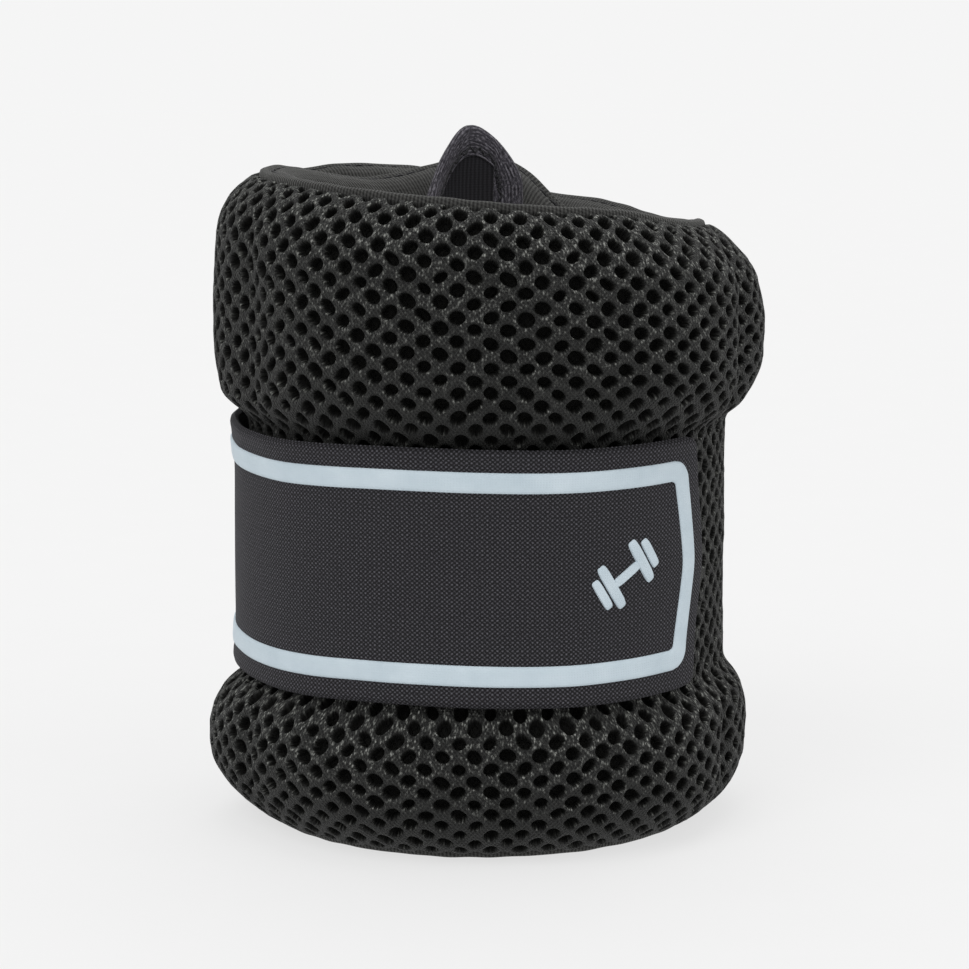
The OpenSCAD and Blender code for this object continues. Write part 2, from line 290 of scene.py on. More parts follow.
def inner(x, arc):
    """the band's inner face: x along the band, arc up its section"""
    turn = turn_at(x)
    crest, z = np.interp(arc, IN_ARC, IN_CREST), np.interp(arc, IN_ARC, IN_Z)
    thick = thickness(turn)
    push = lobes(turn, z) + cloth_offset("in", x, arc) * rise(turn, 140, 20)
    return band(turn, place(x, z), thick - thick / 2 * crest + push * (1 - crest))


# ---------------------------------------------------------------- mesh helpers
def face_normals(points, face_sets):
    """vertex normals summed over quads and triangles"""
    total = np.zeros_like(points)
    for faces in face_sets:
        corners = [points[column] for column in faces.T]
        if len(corners) == 4:
            normal = np.cross(corners[2] - corners[0], corners[3] - corners[1])
        else:
            normal = np.cross(corners[1] - corners[0], corners[2] - corners[0])
        for column in faces.T:
            np.add.at(total, column, normal)
    return unit(total)


def build(name, points, face_sets, material, uv=None, normals=None, deep=None):
    """a mesh object from millimetre points and arrays of equal-sized faces"""
    used = np.zeros(len(points), bool)
    for faces in face_sets:
        used[faces] = True
    renumber = np.cumsum(used) - 1
    loops = np.concatenate([renumber[faces].ravel() for faces in face_sets]).astype(np.int32)
    sizes = np.concatenate([np.full(len(faces), faces.shape[1]) for faces in face_sets])
    mesh = bpy.data.meshes.new(name)
    mesh.vertices.add(int(used.sum()))
    mesh.vertices.foreach_set("co", (points[used] * MM).astype(np.float32).ravel())
    mesh.loops.add(len(loops))
    mesh.loops.foreach_set("vertex_index", loops)
    mesh.polygons.add(len(sizes))
    mesh.polygons.foreach_set("loop_start", along(sizes)[:-1].astype(np.int32))
    mesh.polygons.foreach_set("use_smooth", np.full(len(sizes), True))
    mesh.update(calc_edges=True)
    if uv is not None:
        layer = mesh.uv_layers.new(name="UVMap")
        layer.data.foreach_set("uv", (uv[used][loops] * UV_SCALE).astype(np.float32).ravel())
    if deep is not None:
        attribute = mesh.attributes.new("deep", "FLOAT", "POINT")
        attribute.data.foreach_set("value", deep[used].astype(np.float32))
    mesh.validate()
    if normals is not None:
        mesh.normals_split_custom_set_from_vertices(normals[used].tolist())
    mesh.materials.append(material)
    piece = bpy.data.objects.new(name, mesh)
    bpy.context.scene.collection.objects.link(piece)
    return piece


def grid_quads(first, last, width):
    """quads between rows first and last of a grid of the given width"""
    i, j = grid(np.arange(first, last), np.arange(width - 1))
    corner = (i * width + j).ravel()
    return np.stack([corner, corner + width, corner + width + 1, corner + 1], 1)


class Slab:
    """a sheet with a front and a back that can be cut across its rows without seams showing"""

    def __init__(self, front, back, u, v, flip=False):
        self.rows, self.columns = front.shape[:2]
        self.flip = flip
        self.points = np.concatenate([front.reshape(-1, 3), back.reshape(-1, 3)])
        uv = np.stack(np.broadcast_arrays(u, v), -1).reshape(-1, 2)
        self.uv = np.concatenate([uv, uv])
        self.normals = face_normals(self.points, [self.faces(0, self.rows - 1)])

    def faces(self, first, last):
        width = self.columns
        back = self.rows * width
        sheet = grid_quads(first, last, width)
        low = np.arange(first, last) * width
        high = low + width - 1
        start = first * width + np.arange(width - 1)
        end = last * width + np.arange(width - 1)
        quads = np.concatenate([
            sheet,
            sheet[:, ::-1] + back,
            np.stack([low, back + low, back + low + width, low + width], 1),
            np.stack([high, high + width, back + high + width, back + high], 1),
            np.stack([start, start + 1, back + start + 1, back + start], 1),
            np.stack([end, back + end, back + end + 1, end + 1], 1),
        ])
        return quads[:, ::-1] if self.flip else quads


def tubes(lines, across, radius, taper=(0.7, 1, 1, 1, 1, 0.7), sides=6):
    """closed tubes along (line, point, 3) lines; across is a direction across them"""
    lines = np.asarray(lines, float)
    count, length = lines.shape[:2]
    direction = unit(np.gradient(lines, axis=1))
    second = unit(np.cross(direction, across))
    first = np.cross(second, direction)
    turn = (np.arange(sides) * 2 * math.pi / sides)[:, None]
    spokes = np.cos(turn) * first[:, :, None] + np.sin(turn) * second[:, :, None]
    radii = radius * np.broadcast_to(taper, length)[None, :, None, None]
    points = (lines[:, :, None] + radii * spokes).reshape(-1, 3)
    i, j, side = np.meshgrid(np.arange(count), np.arange(length - 1), np.arange(sides), indexing="ij")
    ring = (i * length + j) * sides
    beside = (side + 1) % sides
    corners = [ring + side, ring + beside, ring + sides + beside, ring + sides + side]
    start = np.arange(count)[:, None] * length * sides
    end = start + (length - 1) * sides
    caps = np.concatenate([start + np.arange(sides)[::-1], end + np.arange(sides)])
    return points, [np.stack(corners, -1).reshape(-1, 4), caps]


def join(parts):
    """several (points, face sets) into one"""
    by_size, start = {}, 0
    for points, face_sets in parts:
        for faces in face_sets:
            by_size.setdefault(faces.shape[1], []).append(faces + start)
        start += len(points)
    return (
        np.concatenate([points for points, _ in parts]),
        [np.concatenate(faces) for faces in by_size.values()],
    )


# A motion is either the name of the body a part rides on, or two bodies and the start and end of
# the zone between them, which add_part does not use: such a part is baked in place.
def add_part(name, points, face_sets, kind, motion, replaced=(), **layers):
    """a part of one kind, which names its material"""
    piece = build(name, points, face_sets, MATERIALS[kind], **layers)
    if isinstance(motion, str):
        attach(piece, motion)
    else:
        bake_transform(piece)
    if replaced:
        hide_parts(*replaced)


def add_slab(name, slab, spans, kind, motion, replaced=()):
    """the spans (first row, last row) of a slab as one part"""
    faces = np.concatenate([slab.faces(*span) for span in spans])
    add_part(name, slab.points, [faces], kind, motion, replaced, uv=slab.uv, normals=slab.normals)


def add_thread(name, tube, motion):
    points, face_sets = tube
    uv = np.stack([points[:, 0] + points[:, 1], points[:, 2]], 1)
    add_part(name, points, face_sets, "thread", motion, uv=uv)


def bend_zone(before, after, direction=None, tight=0.0):
    """a blend's start and end: past all of the points before, and short of all those after"""
    if direction is None:
        direction = after.mean(0) - before.mean(0)
    direction = unit(direction)
    low, high = float((before @ direction).max()), float((after @ direction).min())
    if high - low < 6:
        middle = (low + high) / 2
        low, high = middle - 3, middle + 3
    gap = (high - low) * tight / 2
    centre = (before.mean(0) + after.mean(0)) / 2
    centre = centre - direction * (centre @ direction)
    ends = (low + gap, high - gap)
    return tuple(tuple((centre + direction * end) * MM) for end in ends)


# ---------------------------------------------------------------- materials, all node-built
def srgb(*channels):
    """linear colour from 0-255 channels"""
    return tuple(
        ((value / 255 + 0.055) / 1.055) ** 2.4 if value > 10 else value / 255 / 12.92
        for value in channels
    ) + (1.0,)


def grey(value):
    return srgb(value, value, value)


class Material:
    """a Principled material; texture sizes are in cm on UVs and in metres on object space"""

    def __init__(self, name, rough=0.9, sheen=0.0, specular=0.3, sheen_rough=0.4, sheen_tint=None):
        self.material = bpy.data.materials.new(name)
        self.material.use_nodes = True
        self.tree = self.material.node_tree
        self.shader = self.tree.nodes["Principled BSDF"]
        self.set("Roughness", rough)
        self.set("Specular IOR Level", specular)
        self.set("Sheen Weight", sheen)
        self.set("Sheen Roughness", sheen_rough)
        if sheen_tint:
            self.set("Sheen Tint", sheen_tint)

    def put(self, socket, value):
        if isinstance(value, bpy.types.NodeSocket):
            self.tree.links.new(value, socket)
        else:
            socket.default_value = value

    def set(self, name, value):
        self.put(self.shader.inputs[name], value)

    def node(self, kind, **inputs):
        """a new node; underscores in the input names stand for spaces"""
        node = self.tree.nodes.new("ShaderNode" + kind)
        for name, value in inputs.items():
            self.put(node.inputs[name.replace("_", " ")], value)
        return node

    def coords(self, space="UV", scale=(1, 1, 1), turn=0.0):
        source = self.node("TexCoord").outputs[space]
        rotation = (0, 0, math.radians(turn))
        return self.node("Mapping", Vector=source, Scale=scale, Rotation=rotation).outputs["Vector"]

    def wave(self, coords, period, distort=0.0, detail=1.0, across="X", detail_scale=1.0):
        # the texture runs through 20 radians per unit, so 2 pi / 20 sets the period
        node = self.node("TexWave", Vector=coords, Scale=0.31416 / period, Distortion=distort,
                         Detail=detail, Detail_Scale=detail_scale)
        node.bands_direction = across
        return node.outputs["Fac"]

    def noise(self, coords, size, detail=3.0, rough=0.55):
        node = self.node("TexNoise", Vector=coords, Scale=1 / size, Detail=detail, Roughness=rough)
        return node.outputs["Fac"]

    def cells(self, coords, size):
        return self.node("TexVoronoi", Vector=coords, Scale=1 / size).outputs["Distance"]

    def math(self, operation, *values, clamp=False):
        node = self.node("Math")
        node.operation = operation
        node.use_clamp = clamp
        for socket, value in zip(node.inputs, values):
            self.put(socket, value)
        return node.outputs[0]

    def times(self, value, gain, clamp=False):
        return self.math("MULTIPLY", value, gain, clamp=clamp)

    def plus(self, first, second):
        return self.math("ADD", first, second)

    def levels(self, value, gain, offset, clamp=False):
        return self.math("MULTIPLY_ADD", value, gain, offset, clamp=clamp)

    def invert(self, value, clamp=False):
        return self.math("SUBTRACT", 1.0, value, clamp=clamp)

    def ramp(self, factor, *stops):
        """stops are (position, colour)"""
        node = self.node("ValToRGB", Fac=factor)
        elements = node.color_ramp.elements
        for _ in stops[2:]:
            elements.new(0.5)
        for element, (position, color) in zip(elements, stops):
            element.position = position
            element.color = color
        return node.outputs["Color"]

    def mix(self, factor, first, second):
        node = self.node("Mix")
        node.data_type = "RGBA"
        self.put(node.inputs["Factor"], factor)
        self.put(node.inputs[6], first)
        self.put(node.inputs[7], second)
        return node.outputs[2]

    def color(self, value):
        self.set("Base Color", value)

    def bump(self, height, strength, distance):
        node = self.node("Bump", Height=height, Strength=strength, Distance=distance)
        self.set("Normal", node.outputs["Normal"])


def mesh_material():
    """black spacer knit: diagonal yarns, painted glints (a painted highlight, brighter where the knit
    faces up) and painted shade in its holes
    """
    mat = Material("spacer_mesh", rough=0.7, sheen=0.05, specular=0.4, sheen_rough=0.4,
                   sheen_tint=srgb(190, 192, 186))
    rising, falling, plain = mat.coords(turn=39), mat.coords(turn=-39), mat.coords()
    deep = mat.node("Attribute")
    deep.attribute_name = "deep"
    first = mat.wave(rising, period=0.062, distort=2.2, detail=2.0, detail_scale=1.2)
    second = mat.wave(falling, period=0.066, distort=2.2, detail=2.0, detail_scale=1.2)
    yarn = mat.math("MAXIMUM", first, mat.times(second, gain=0.9))
    fine = mat.noise(plain, size=0.035, detail=3.0, rough=0.7)
    broad = mat.noise(plain, size=1.6, detail=2.0)
    tone = mat.times(yarn, mat.levels(fine, gain=1.5, offset=0.05), clamp=True)
    knit = mat.ramp(tone, (0.0, grey(6)), (0.45, srgb(15, 15, 14)), (1.0, srgb(46, 47, 45)))
    fade = mat.levels(broad, gain=0.4, offset=-0.12, clamp=True)
    knit = mat.mix(fade, knit, srgb(13, 13, 12))
    loop = mat.cells(mat.coords(scale=(1.65, 0.85, 1), turn=14), size=0.07)
    tuft = mat.invert(mat.times(loop, gain=1.45), clamp=True)
    pick = mat.noise(plain, size=0.085, detail=2.0, rough=0.6)
    # painted highlight: a near-white glint colour mixed into the base colour on yarn tufts, stronger
    # where the surface faces up
    normal = mat.node("NewGeometry").outputs["Normal"]
    facing = mat.node("SeparateXYZ", Vector=normal).outputs["Z"]
    painted_top_light = mat.levels(facing, gain=1.15, offset=0.42, clamp=True)
    sharp_tuft = mat.math("POWER", tuft, 1.9)
    painted_glint = mat.times(sharp_tuft, mat.levels(pick, gain=6.0, offset=-2.6, clamp=True))
    knit = mat.mix(mat.times(painted_glint, painted_top_light, clamp=True), knit, srgb(205, 207, 200))
    # painted shade in the holes: the deep attribute swaps the knit for a flat grey and takes out the
    # sheen and specular
    mat.color(mat.mix(deep.outputs["Fac"], knit, srgb(26, 26, 25)))
    shallow = mat.invert(deep.outputs["Fac"], clamp=True)
    mat.set("Sheen Weight", mat.times(shallow, gain=0.05))
    mat.set("Specular IOR Level", mat.times(shallow, gain=0.34))
    mat.set("Roughness", mat.levels(fine, gain=-0.5, offset=0.95, clamp=True))
    relief = mat.plus(mat.times(yarn, gain=0.8), mat.plus(mat.times(fine, gain=0.6), tuft))
    mat.bump(relief, strength=1.0, distance=0.0004)
    return mat.material


def web_material():
    """slate webbing in plain weave: weft and warp yarns show in turn"""
    mat = Material("webbing", rough=0.84, sheen=0.08, specular=0.28, sheen_rough=0.5,
                   sheen_tint=srgb(180, 178, 186))
    plain = mat.coords()
    rib = mat.wave(plain, period=0.096, distort=0.45, detail=1.5)
    warp = mat.wave(plain, period=0.084, distort=0.6, detail=1.5, across="Y")
    fine = mat.noise(plain, size=0.03, detail=3.0, rough=0.7)
    slow = mat.noise(mat.coords(scale=(0.35, 1, 1)), size=0.9, detail=3.0)
    both = mat.times(rib, warp)
    neither = mat.times(mat.invert(rib), mat.invert(warp))
    weave = mat.plus(both, mat.times(neither, gain=0.8))
    tone = mat.times(mat.levels(weave, gain=0.85, offset=0.12),
                     mat.levels(fine, gain=1.9, offset=0.0), clamp=True)
    cloth = mat.ramp(tone, (0.0, srgb(7, 7, 8)), (0.45, srgb(22, 21, 24)), (1.0, srgb(96, 95, 101)))
    fade = mat.levels(slow, gain=0.4, offset=-0.18, clamp=True)
    mat.color(mat.mix(fade, cloth, srgb(25, 24, 27)))
    mat.bump(mat.plus(weave, mat.times(fine, gain=0.5)), strength=0.8, distance=0.0002)
    return mat.material


def print_material():
    """pale ice-blue flexible print over the weave, with small pits"""
    mat = Material("strap_print", rough=0.5, specular=0.35)
    plain = mat.coords()
    rib = mat.wave(plain, period=0.056, distort=0.25)
    warp = mat.wave(plain, period=0.048, distort=0.5, across="Y")
    fine = mat.noise(plain, size=0.02, detail=2.0)
    slow = mat.noise(plain, size=0.7, detail=3.0)
    pit_level = 0.71  # noise above this is a pit
    pit = mat.math("GREATER_THAN", mat.noise(plain, size=0.05, detail=4.0, rough=0.75), pit_level)
    ink = mat.ramp(slow, (0.25, srgb(188, 203, 212)), (0.75, srgb(203, 216, 224)))
    mat.color(mat.mix(mat.times(pit, gain=0.3), ink, srgb(140, 154, 165)))
    mat.set("Roughness", mat.levels(slow, gain=0.25, offset=0.4))
    relief = mat.plus(mat.times(rib, warp), mat.times(fine, gain=0.6))
    mat.bump(relief, strength=0.35, distance=0.00012)
    return mat.material


def liner_material():
    """black neoprene whose jersey face shows its wales across the rims"""
    mat = Material("liner_neoprene", rough=0.85, sheen=0.34, specular=0.22, sheen_rough=0.45,
                   sheen_tint=srgb(190, 190, 188))
    plain = mat.coords()
    wale = mat.wave(plain, period=0.086, distort=0.35)
    course = mat.wave(mat.coords(turn=8), period=0.034, distort=0.8, across="Y")
    fine = mat.noise(plain, size=0.03, detail=3.0, rough=0.65)
    slow = mat.noise(plain, size=1.4, detail=3.0)
    grain = mat.plus(mat.times(course, gain=0.16), mat.times(fine, gain=0.38))
    tone = mat.plus(mat.times(wale, gain=0.46), grain)
    knit = mat.ramp(tone, (0.15, srgb(13, 13, 12)), (0.85, srgb(76, 76, 74)))
    fade = mat.levels(slow, gain=1.0, offset=-0.4, clamp=True)
    mat.color(mat.mix(fade, knit, srgb(29, 29, 28)))
    relief = mat.plus(wale, mat.plus(mat.times(course, gain=0.4), mat.times(fine, gain=0.5)))
    mat.bump(relief, strength=0.7, distance=0.0002)
    return mat.material


def fold_material():
    """the strap's doubled, sewn end: a darker twill tape"""
    mat = Material("strap_fold", rough=0.9, sheen=0.1, specular=0.2)
    twill = mat.wave(mat.coords(turn=52), period=0.07, distort=0.4)
    fine = mat.noise(mat.coords(), size=0.03, detail=3.0, rough=0.7)
    brighter = 0.3  # added to the noise
    tone = mat.times(twill, mat.plus(fine, brighter))
    mat.color(mat.ramp(tone, (0.1, srgb(12, 12, 13)), (0.9, srgb(50, 49, 53))))
    mat.bump(mat.plus(twill, fine), strength=0.6, distance=0.0002)
    return mat.material


def hem_material():
    """melange binding: grey flecks in dark knit"""
    mat = Material("hem_melange", rough=0.9, sheen=0.15, specular=0.2)
    fleck = mat.noise(mat.coords(scale=(0.4, 1, 1)), size=0.042, detail=4.0, rough=0.75)
    rib = mat.wave(mat.coords(), period=0.075, distort=0.5, across="Y")
    tone = mat.levels(rib, gain=0.1, offset=fleck)
    mat.color(mat.ramp(tone, (0.38, srgb(26, 25, 28)), (0.56, srgb(66, 64, 70)),
                       (0.74, srgb(136, 133, 140))))
    mat.bump(mat.plus(mat.times(rib, gain=0.7), fleck), strength=0.6, distance=0.0002)
    return mat.material


def tongue_material():
    """dark, finely knitted cloth"""
    mat = Material("tongue_cloth", rough=0.92, sheen=0.12, specular=0.2)
    plain = mat.coords()
    wale = mat.wave(plain, period=0.09, distort=1.2, detail=2.0)
    course = mat.wave(plain, period=0.05, distort=1.5, detail=2.0, across="Y")
    fine = mat.noise(plain, size=0.03, detail=3.0, rough=0.7)
    knit = mat.levels(wale, gain=0.3, offset=mat.times(course, gain=0.12))
    tone = mat.levels(fine, gain=0.55, offset=knit)
    mat.color(mat.ramp(tone, (0.15, srgb(15, 15, 16)), (0.85, srgb(54, 53, 57))))
    mat.bump(mat.plus(knit, fine), strength=0.5, distance=0.00015)
    return mat.material


def thread_material():
    """dark twisted thread"""
    mat = Material("thread", rough=0.62, specular=0.35, sheen=0.1)
    twist = mat.noise(mat.coords("Object"), size=0.0004, detail=2.0)
    mat.color(mat.ramp(twist, (0.3, srgb(16, 16, 17)), (0.7, srgb(52, 52, 55))))
    mat.bump(twist, strength=0.5, distance=0.0001)
    return mat.material


def hook_material():
    """dark plastic of the hook tape"""
    mat = Material("hook_tape", rough=0.45, specular=0.5)
    mottle = mat.noise(mat.coords("Object"), size=0.0012, detail=3.0)
    mat.color(mat.ramp(mottle, (0.3, srgb(12, 12, 14)), (0.7, srgb(38, 38, 41))))
    mat.set("Roughness", mat.levels(mottle, gain=0.3, offset=0.3))
    mat.bump(mottle, strength=0.4, distance=0.0001)
    return mat.material


def filling_material(name, dark, light, size, metal=0.0, cells=False):
    """mottled or cellular material of what lies inside the cover"""
    mat = Material(name, rough=0.5 if metal else 0.9, specular=0.4)
    mat.set("Metallic", metal)
    space = mat.coords("Object")
    pattern = mat.cells(space, size) if cells else mat.noise(space, size, detail=4.0, rough=0.6)
    fine = mat.noise(space, size=size * 0.4, detail=3.0)
    tone = mat.levels(fine, gain=0.3, offset=pattern)
    mat.color(mat.ramp(tone, (0.2, srgb(*dark)), (0.9, srgb(*light))))
    mat.bump(mat.invert(pattern) if cells else pattern, strength=0.7, distance=size * 0.3)
    return mat.material


MATERIALS = {
    "mesh": mesh_material(),
    "liner": liner_material(),
    "webbing": web_material(),
    "print": print_material(),
    "fold": fold_material(),
    "hem": hem_material(),
    "tongue": tongue_material(),
    "thread": thread_material(),
    "hook": hook_material(),
    "pouch": filling_material("pouch_cloth", dark=(22, 22, 24), light=(52, 52, 56), size=0.0006),
    "shot": filling_material("steel_shot", dark=(70, 70, 74), light=(165, 166, 170), size=0.0018,
                             metal=1.0, cells=True),
    "foam": filling_material("foam", dark=(34, 34, 36), light=(66, 66, 70), size=0.0005,
                             cells=True),
}


# ---------------------------------------------------------------- cloth simulation of the band
def cloth_settings(modifier):
    settings = modifier.settings
    settings.quality = 5
    settings.mass = 0.3
    settings.tension_stiffness = settings.compression_stiffness = 18
    settings.shear_stiffness = 8
    settings.bending_stiffness = 0.6
    settings.tension_damping = settings.compression_damping = 8
    settings.air_damping = 2
    settings.vertex_group_mass = "hold"
    settings.pin_stiffness = 6
    settings.shrink_min = -0.045  # cut a little large
    settings.use_pressure = True
    settings.uniform_pressure_force = 4
    settings.effector_weights.gravity = 0
    modifier.collision_settings.use_collision = False
    modifier.collision_settings.use_self_collision = False
    modifier.point_cache.frame_start = 1
    modifier.point_cache.frame_end = 24


def tidy(values, low, high):
    """a displacement grid without NaNs, smoothed once and held softly between low and high"""
    pad = np.pad(np.nan_to_num(values), 1, mode="edge")
    sides = pad[:-2, 1:-1] + pad[2:, 1:-1] + pad[1:-1, :-2] + pad[1:-1, 2:]
    values = (4 * pad[1:-1, 1:-1] + sides) / 8
    middle, half = (low + high) / 2, (high - low) / 2
    return middle + half * np.tanh((values - middle) / half)


def simulate():
    """A coarse closed skin of the band, sewn at its channels and held at its waist, is pressed
    out by its filling and puckers along the seams. The result is kept as two smooth fields."""
    scale = 10 * MM  # ten times life size, where the solver's defaults suit it
    columns, out_rows, in_rows = 171, 37, 31
    x = np.linspace(0, LENGTH, columns)
    out_arc, in_arc = np.linspace(0, OUT_SPAN, out_rows), np.linspace(0, IN_SPAN, in_rows)
    skin = np.concatenate([outer(*grid(x, out_arc)), inner(*grid(x, in_arc[1:-1][::-1]))], 1)
    ring = skin.shape[1]
    points = skin.reshape(-1, 3) * scale
    i, j = grid(np.arange(columns - 1), np.arange(ring))
    beside = (j + 1) % ring
    corners = [i * ring + j, i * ring + beside, (i + 1) * ring + beside, (i + 1) * ring + j]
    quads = np.stack(corners, -1).reshape(-1, 4).tolist()
    caps = [list(range(ring)), list(range((columns - 1) * ring, columns * ring))[::-1]]
    mesh = bpy.data.meshes.new("sim")
    mesh.from_pydata(points.tolist(), [], quads + caps)
    mesh.update()
    cloth = bpy.data.objects.new("sim", mesh)
    bpy.context.scene.collection.objects.link(cloth)

    turn = turn_at(x)
    sewn = bell(turn[:, None], np.array(CHANNELS), 2.2).max(1)
    hold = np.repeat(sewn[:, None], ring, 1)
    strapped = waist(np.interp(out_arc, OUT_ARC, OUT_Z)) * 0.9
    hold[:, :out_rows] = np.maximum(sewn[:, None], strapped[None])
    hold[:, [0, out_rows - 1]] = 1
    hold[[0, -1]] = 1
    levels = np.round(hold.ravel(), 1)
    group = cloth.vertex_groups.new(name="hold")
    for level in np.unique(levels):
        if level > 0.05:
            group.add(np.nonzero(levels == level)[0].tolist(), float(level), "REPLACE")
    cloth_settings(cloth.modifiers.new("cloth", "CLOTH"))

    scene = bpy.context.scene
    for number in range(1, 23):
        scene.frame_set(number)
    result = cloth.evaluated_get(bpy.context.evaluated_depsgraph_get())
    moved = np.zeros(len(points) * 3, np.float32)
    result.data.vertices.foreach_get("co", moved)
    moved = (moved.reshape(-1, 3).astype(float) - points).reshape(columns, ring, 3) / scale
    bpy.data.objects.remove(cloth)
    scene.frame_set(1)

    radial = (moved * polar(1, OUTER_END - turn, 0)[:, None]).sum(-1)
    edge = np.zeros((columns, 1))
    inward = np.concatenate([edge, -radial[:, out_rows:][:, ::-1], edge], 1)
    x_step = LENGTH / (columns - 1)
    outward = tidy(radial[:, :out_rows], low=-0.3, high=1.7)
    cloth_fields["out"] = (outward, x_step, OUT_SPAN / (out_rows - 1))
    cloth_fields["in"] = (tidy(inward, low=-0.8, high=1.2), x_step, IN_SPAN / (in_rows - 1))


simulate()


# ---------------------------------------------------------------- where the band's pieces bend
def band_section(middle):
    turn = np.linspace(middle - 4, middle + 4, 7)
    depths = (-3.5, 0.5 * thickness(turn), thickness(turn) + 3.0)
    return np.concatenate([band(turn, 60.0, depth) for depth in depths])


def band_motion(piece):
    """the bodies and bend zone of piece 1 to 7, at the channel between its segment and the next"""
    low = MIDDLES[piece - 1]
    high = 465 if piece == 7 else MIDDLES[piece]
    direction = band(high, 60.0, 8) - band(low, 60.0, 8)
    zone = bend_zone(band_section(low), band_section(high), direction, tight=0.12)
    return (f"segment_{piece}", f"segment_{piece + 1}", *zone)


BAND_MOTIONS = {piece: band_motion(piece) for piece in PIECES}


def band_nodes(prefix, piece):
    """the CAD nodes a piece stands for; the last piece covers two"""
    return [f"{prefix}_{number}" for number in ((7, 8) if piece == 7 else (piece,))]


# ---------------------------------------------------------------- the spacer mesh
CELL_PITCH = 5.9  # intended pitch of the holes along a row
CELL_ROWS = 54
ROW_PITCH = (OUT_SPAN - 5.0) / CELL_ROWS
HEX_HEIGHT = 2.4
# (along, up) corners of a cell before it is fitted to the row pitch
HEXAGON = [(2.451, 0), (0.498, HEX_HEIGHT), (-0.498, HEX_HEIGHT),
           (-2.451, 0), (-0.498, -HEX_HEIGHT), (0.498, -HEX_HEIGHT)]
RIDGE_HEIGHT = 0.13
# rings towards the hole's lip: (share of the way from the ridge, height, painted depth shade)
SLOPE_RINGS = [(0.5, 0.1, 0.0), (0.86, 0.0, 0.1)]
# rings down the hole: (share of the lip's radius, height, painted depth shade)
HOLE_RINGS = [(0.99, -0.3, 0.55), (0.93, -0.95, 0.9), (0.88, -1.72, 1.0)]
HOLE_FLOOR = -1.78
KNIT_THICK = 2.15


def cell_rim():
    """points round one cell; its short sides stay undivided"""
    hexagon = np.array(HEXAGON)
    hexagon[:, 1] *= ROW_PITCH / HEX_HEIGHT
    rim = []
    for i in range(6):
        start, end = hexagon[i], hexagon[(i + 1) % 6]
        parts = 1 if i in (1, 4) else 3
        for part in range(parts):
            rim.append(start + (end - start) * part / parts)
    return np.array(rim)


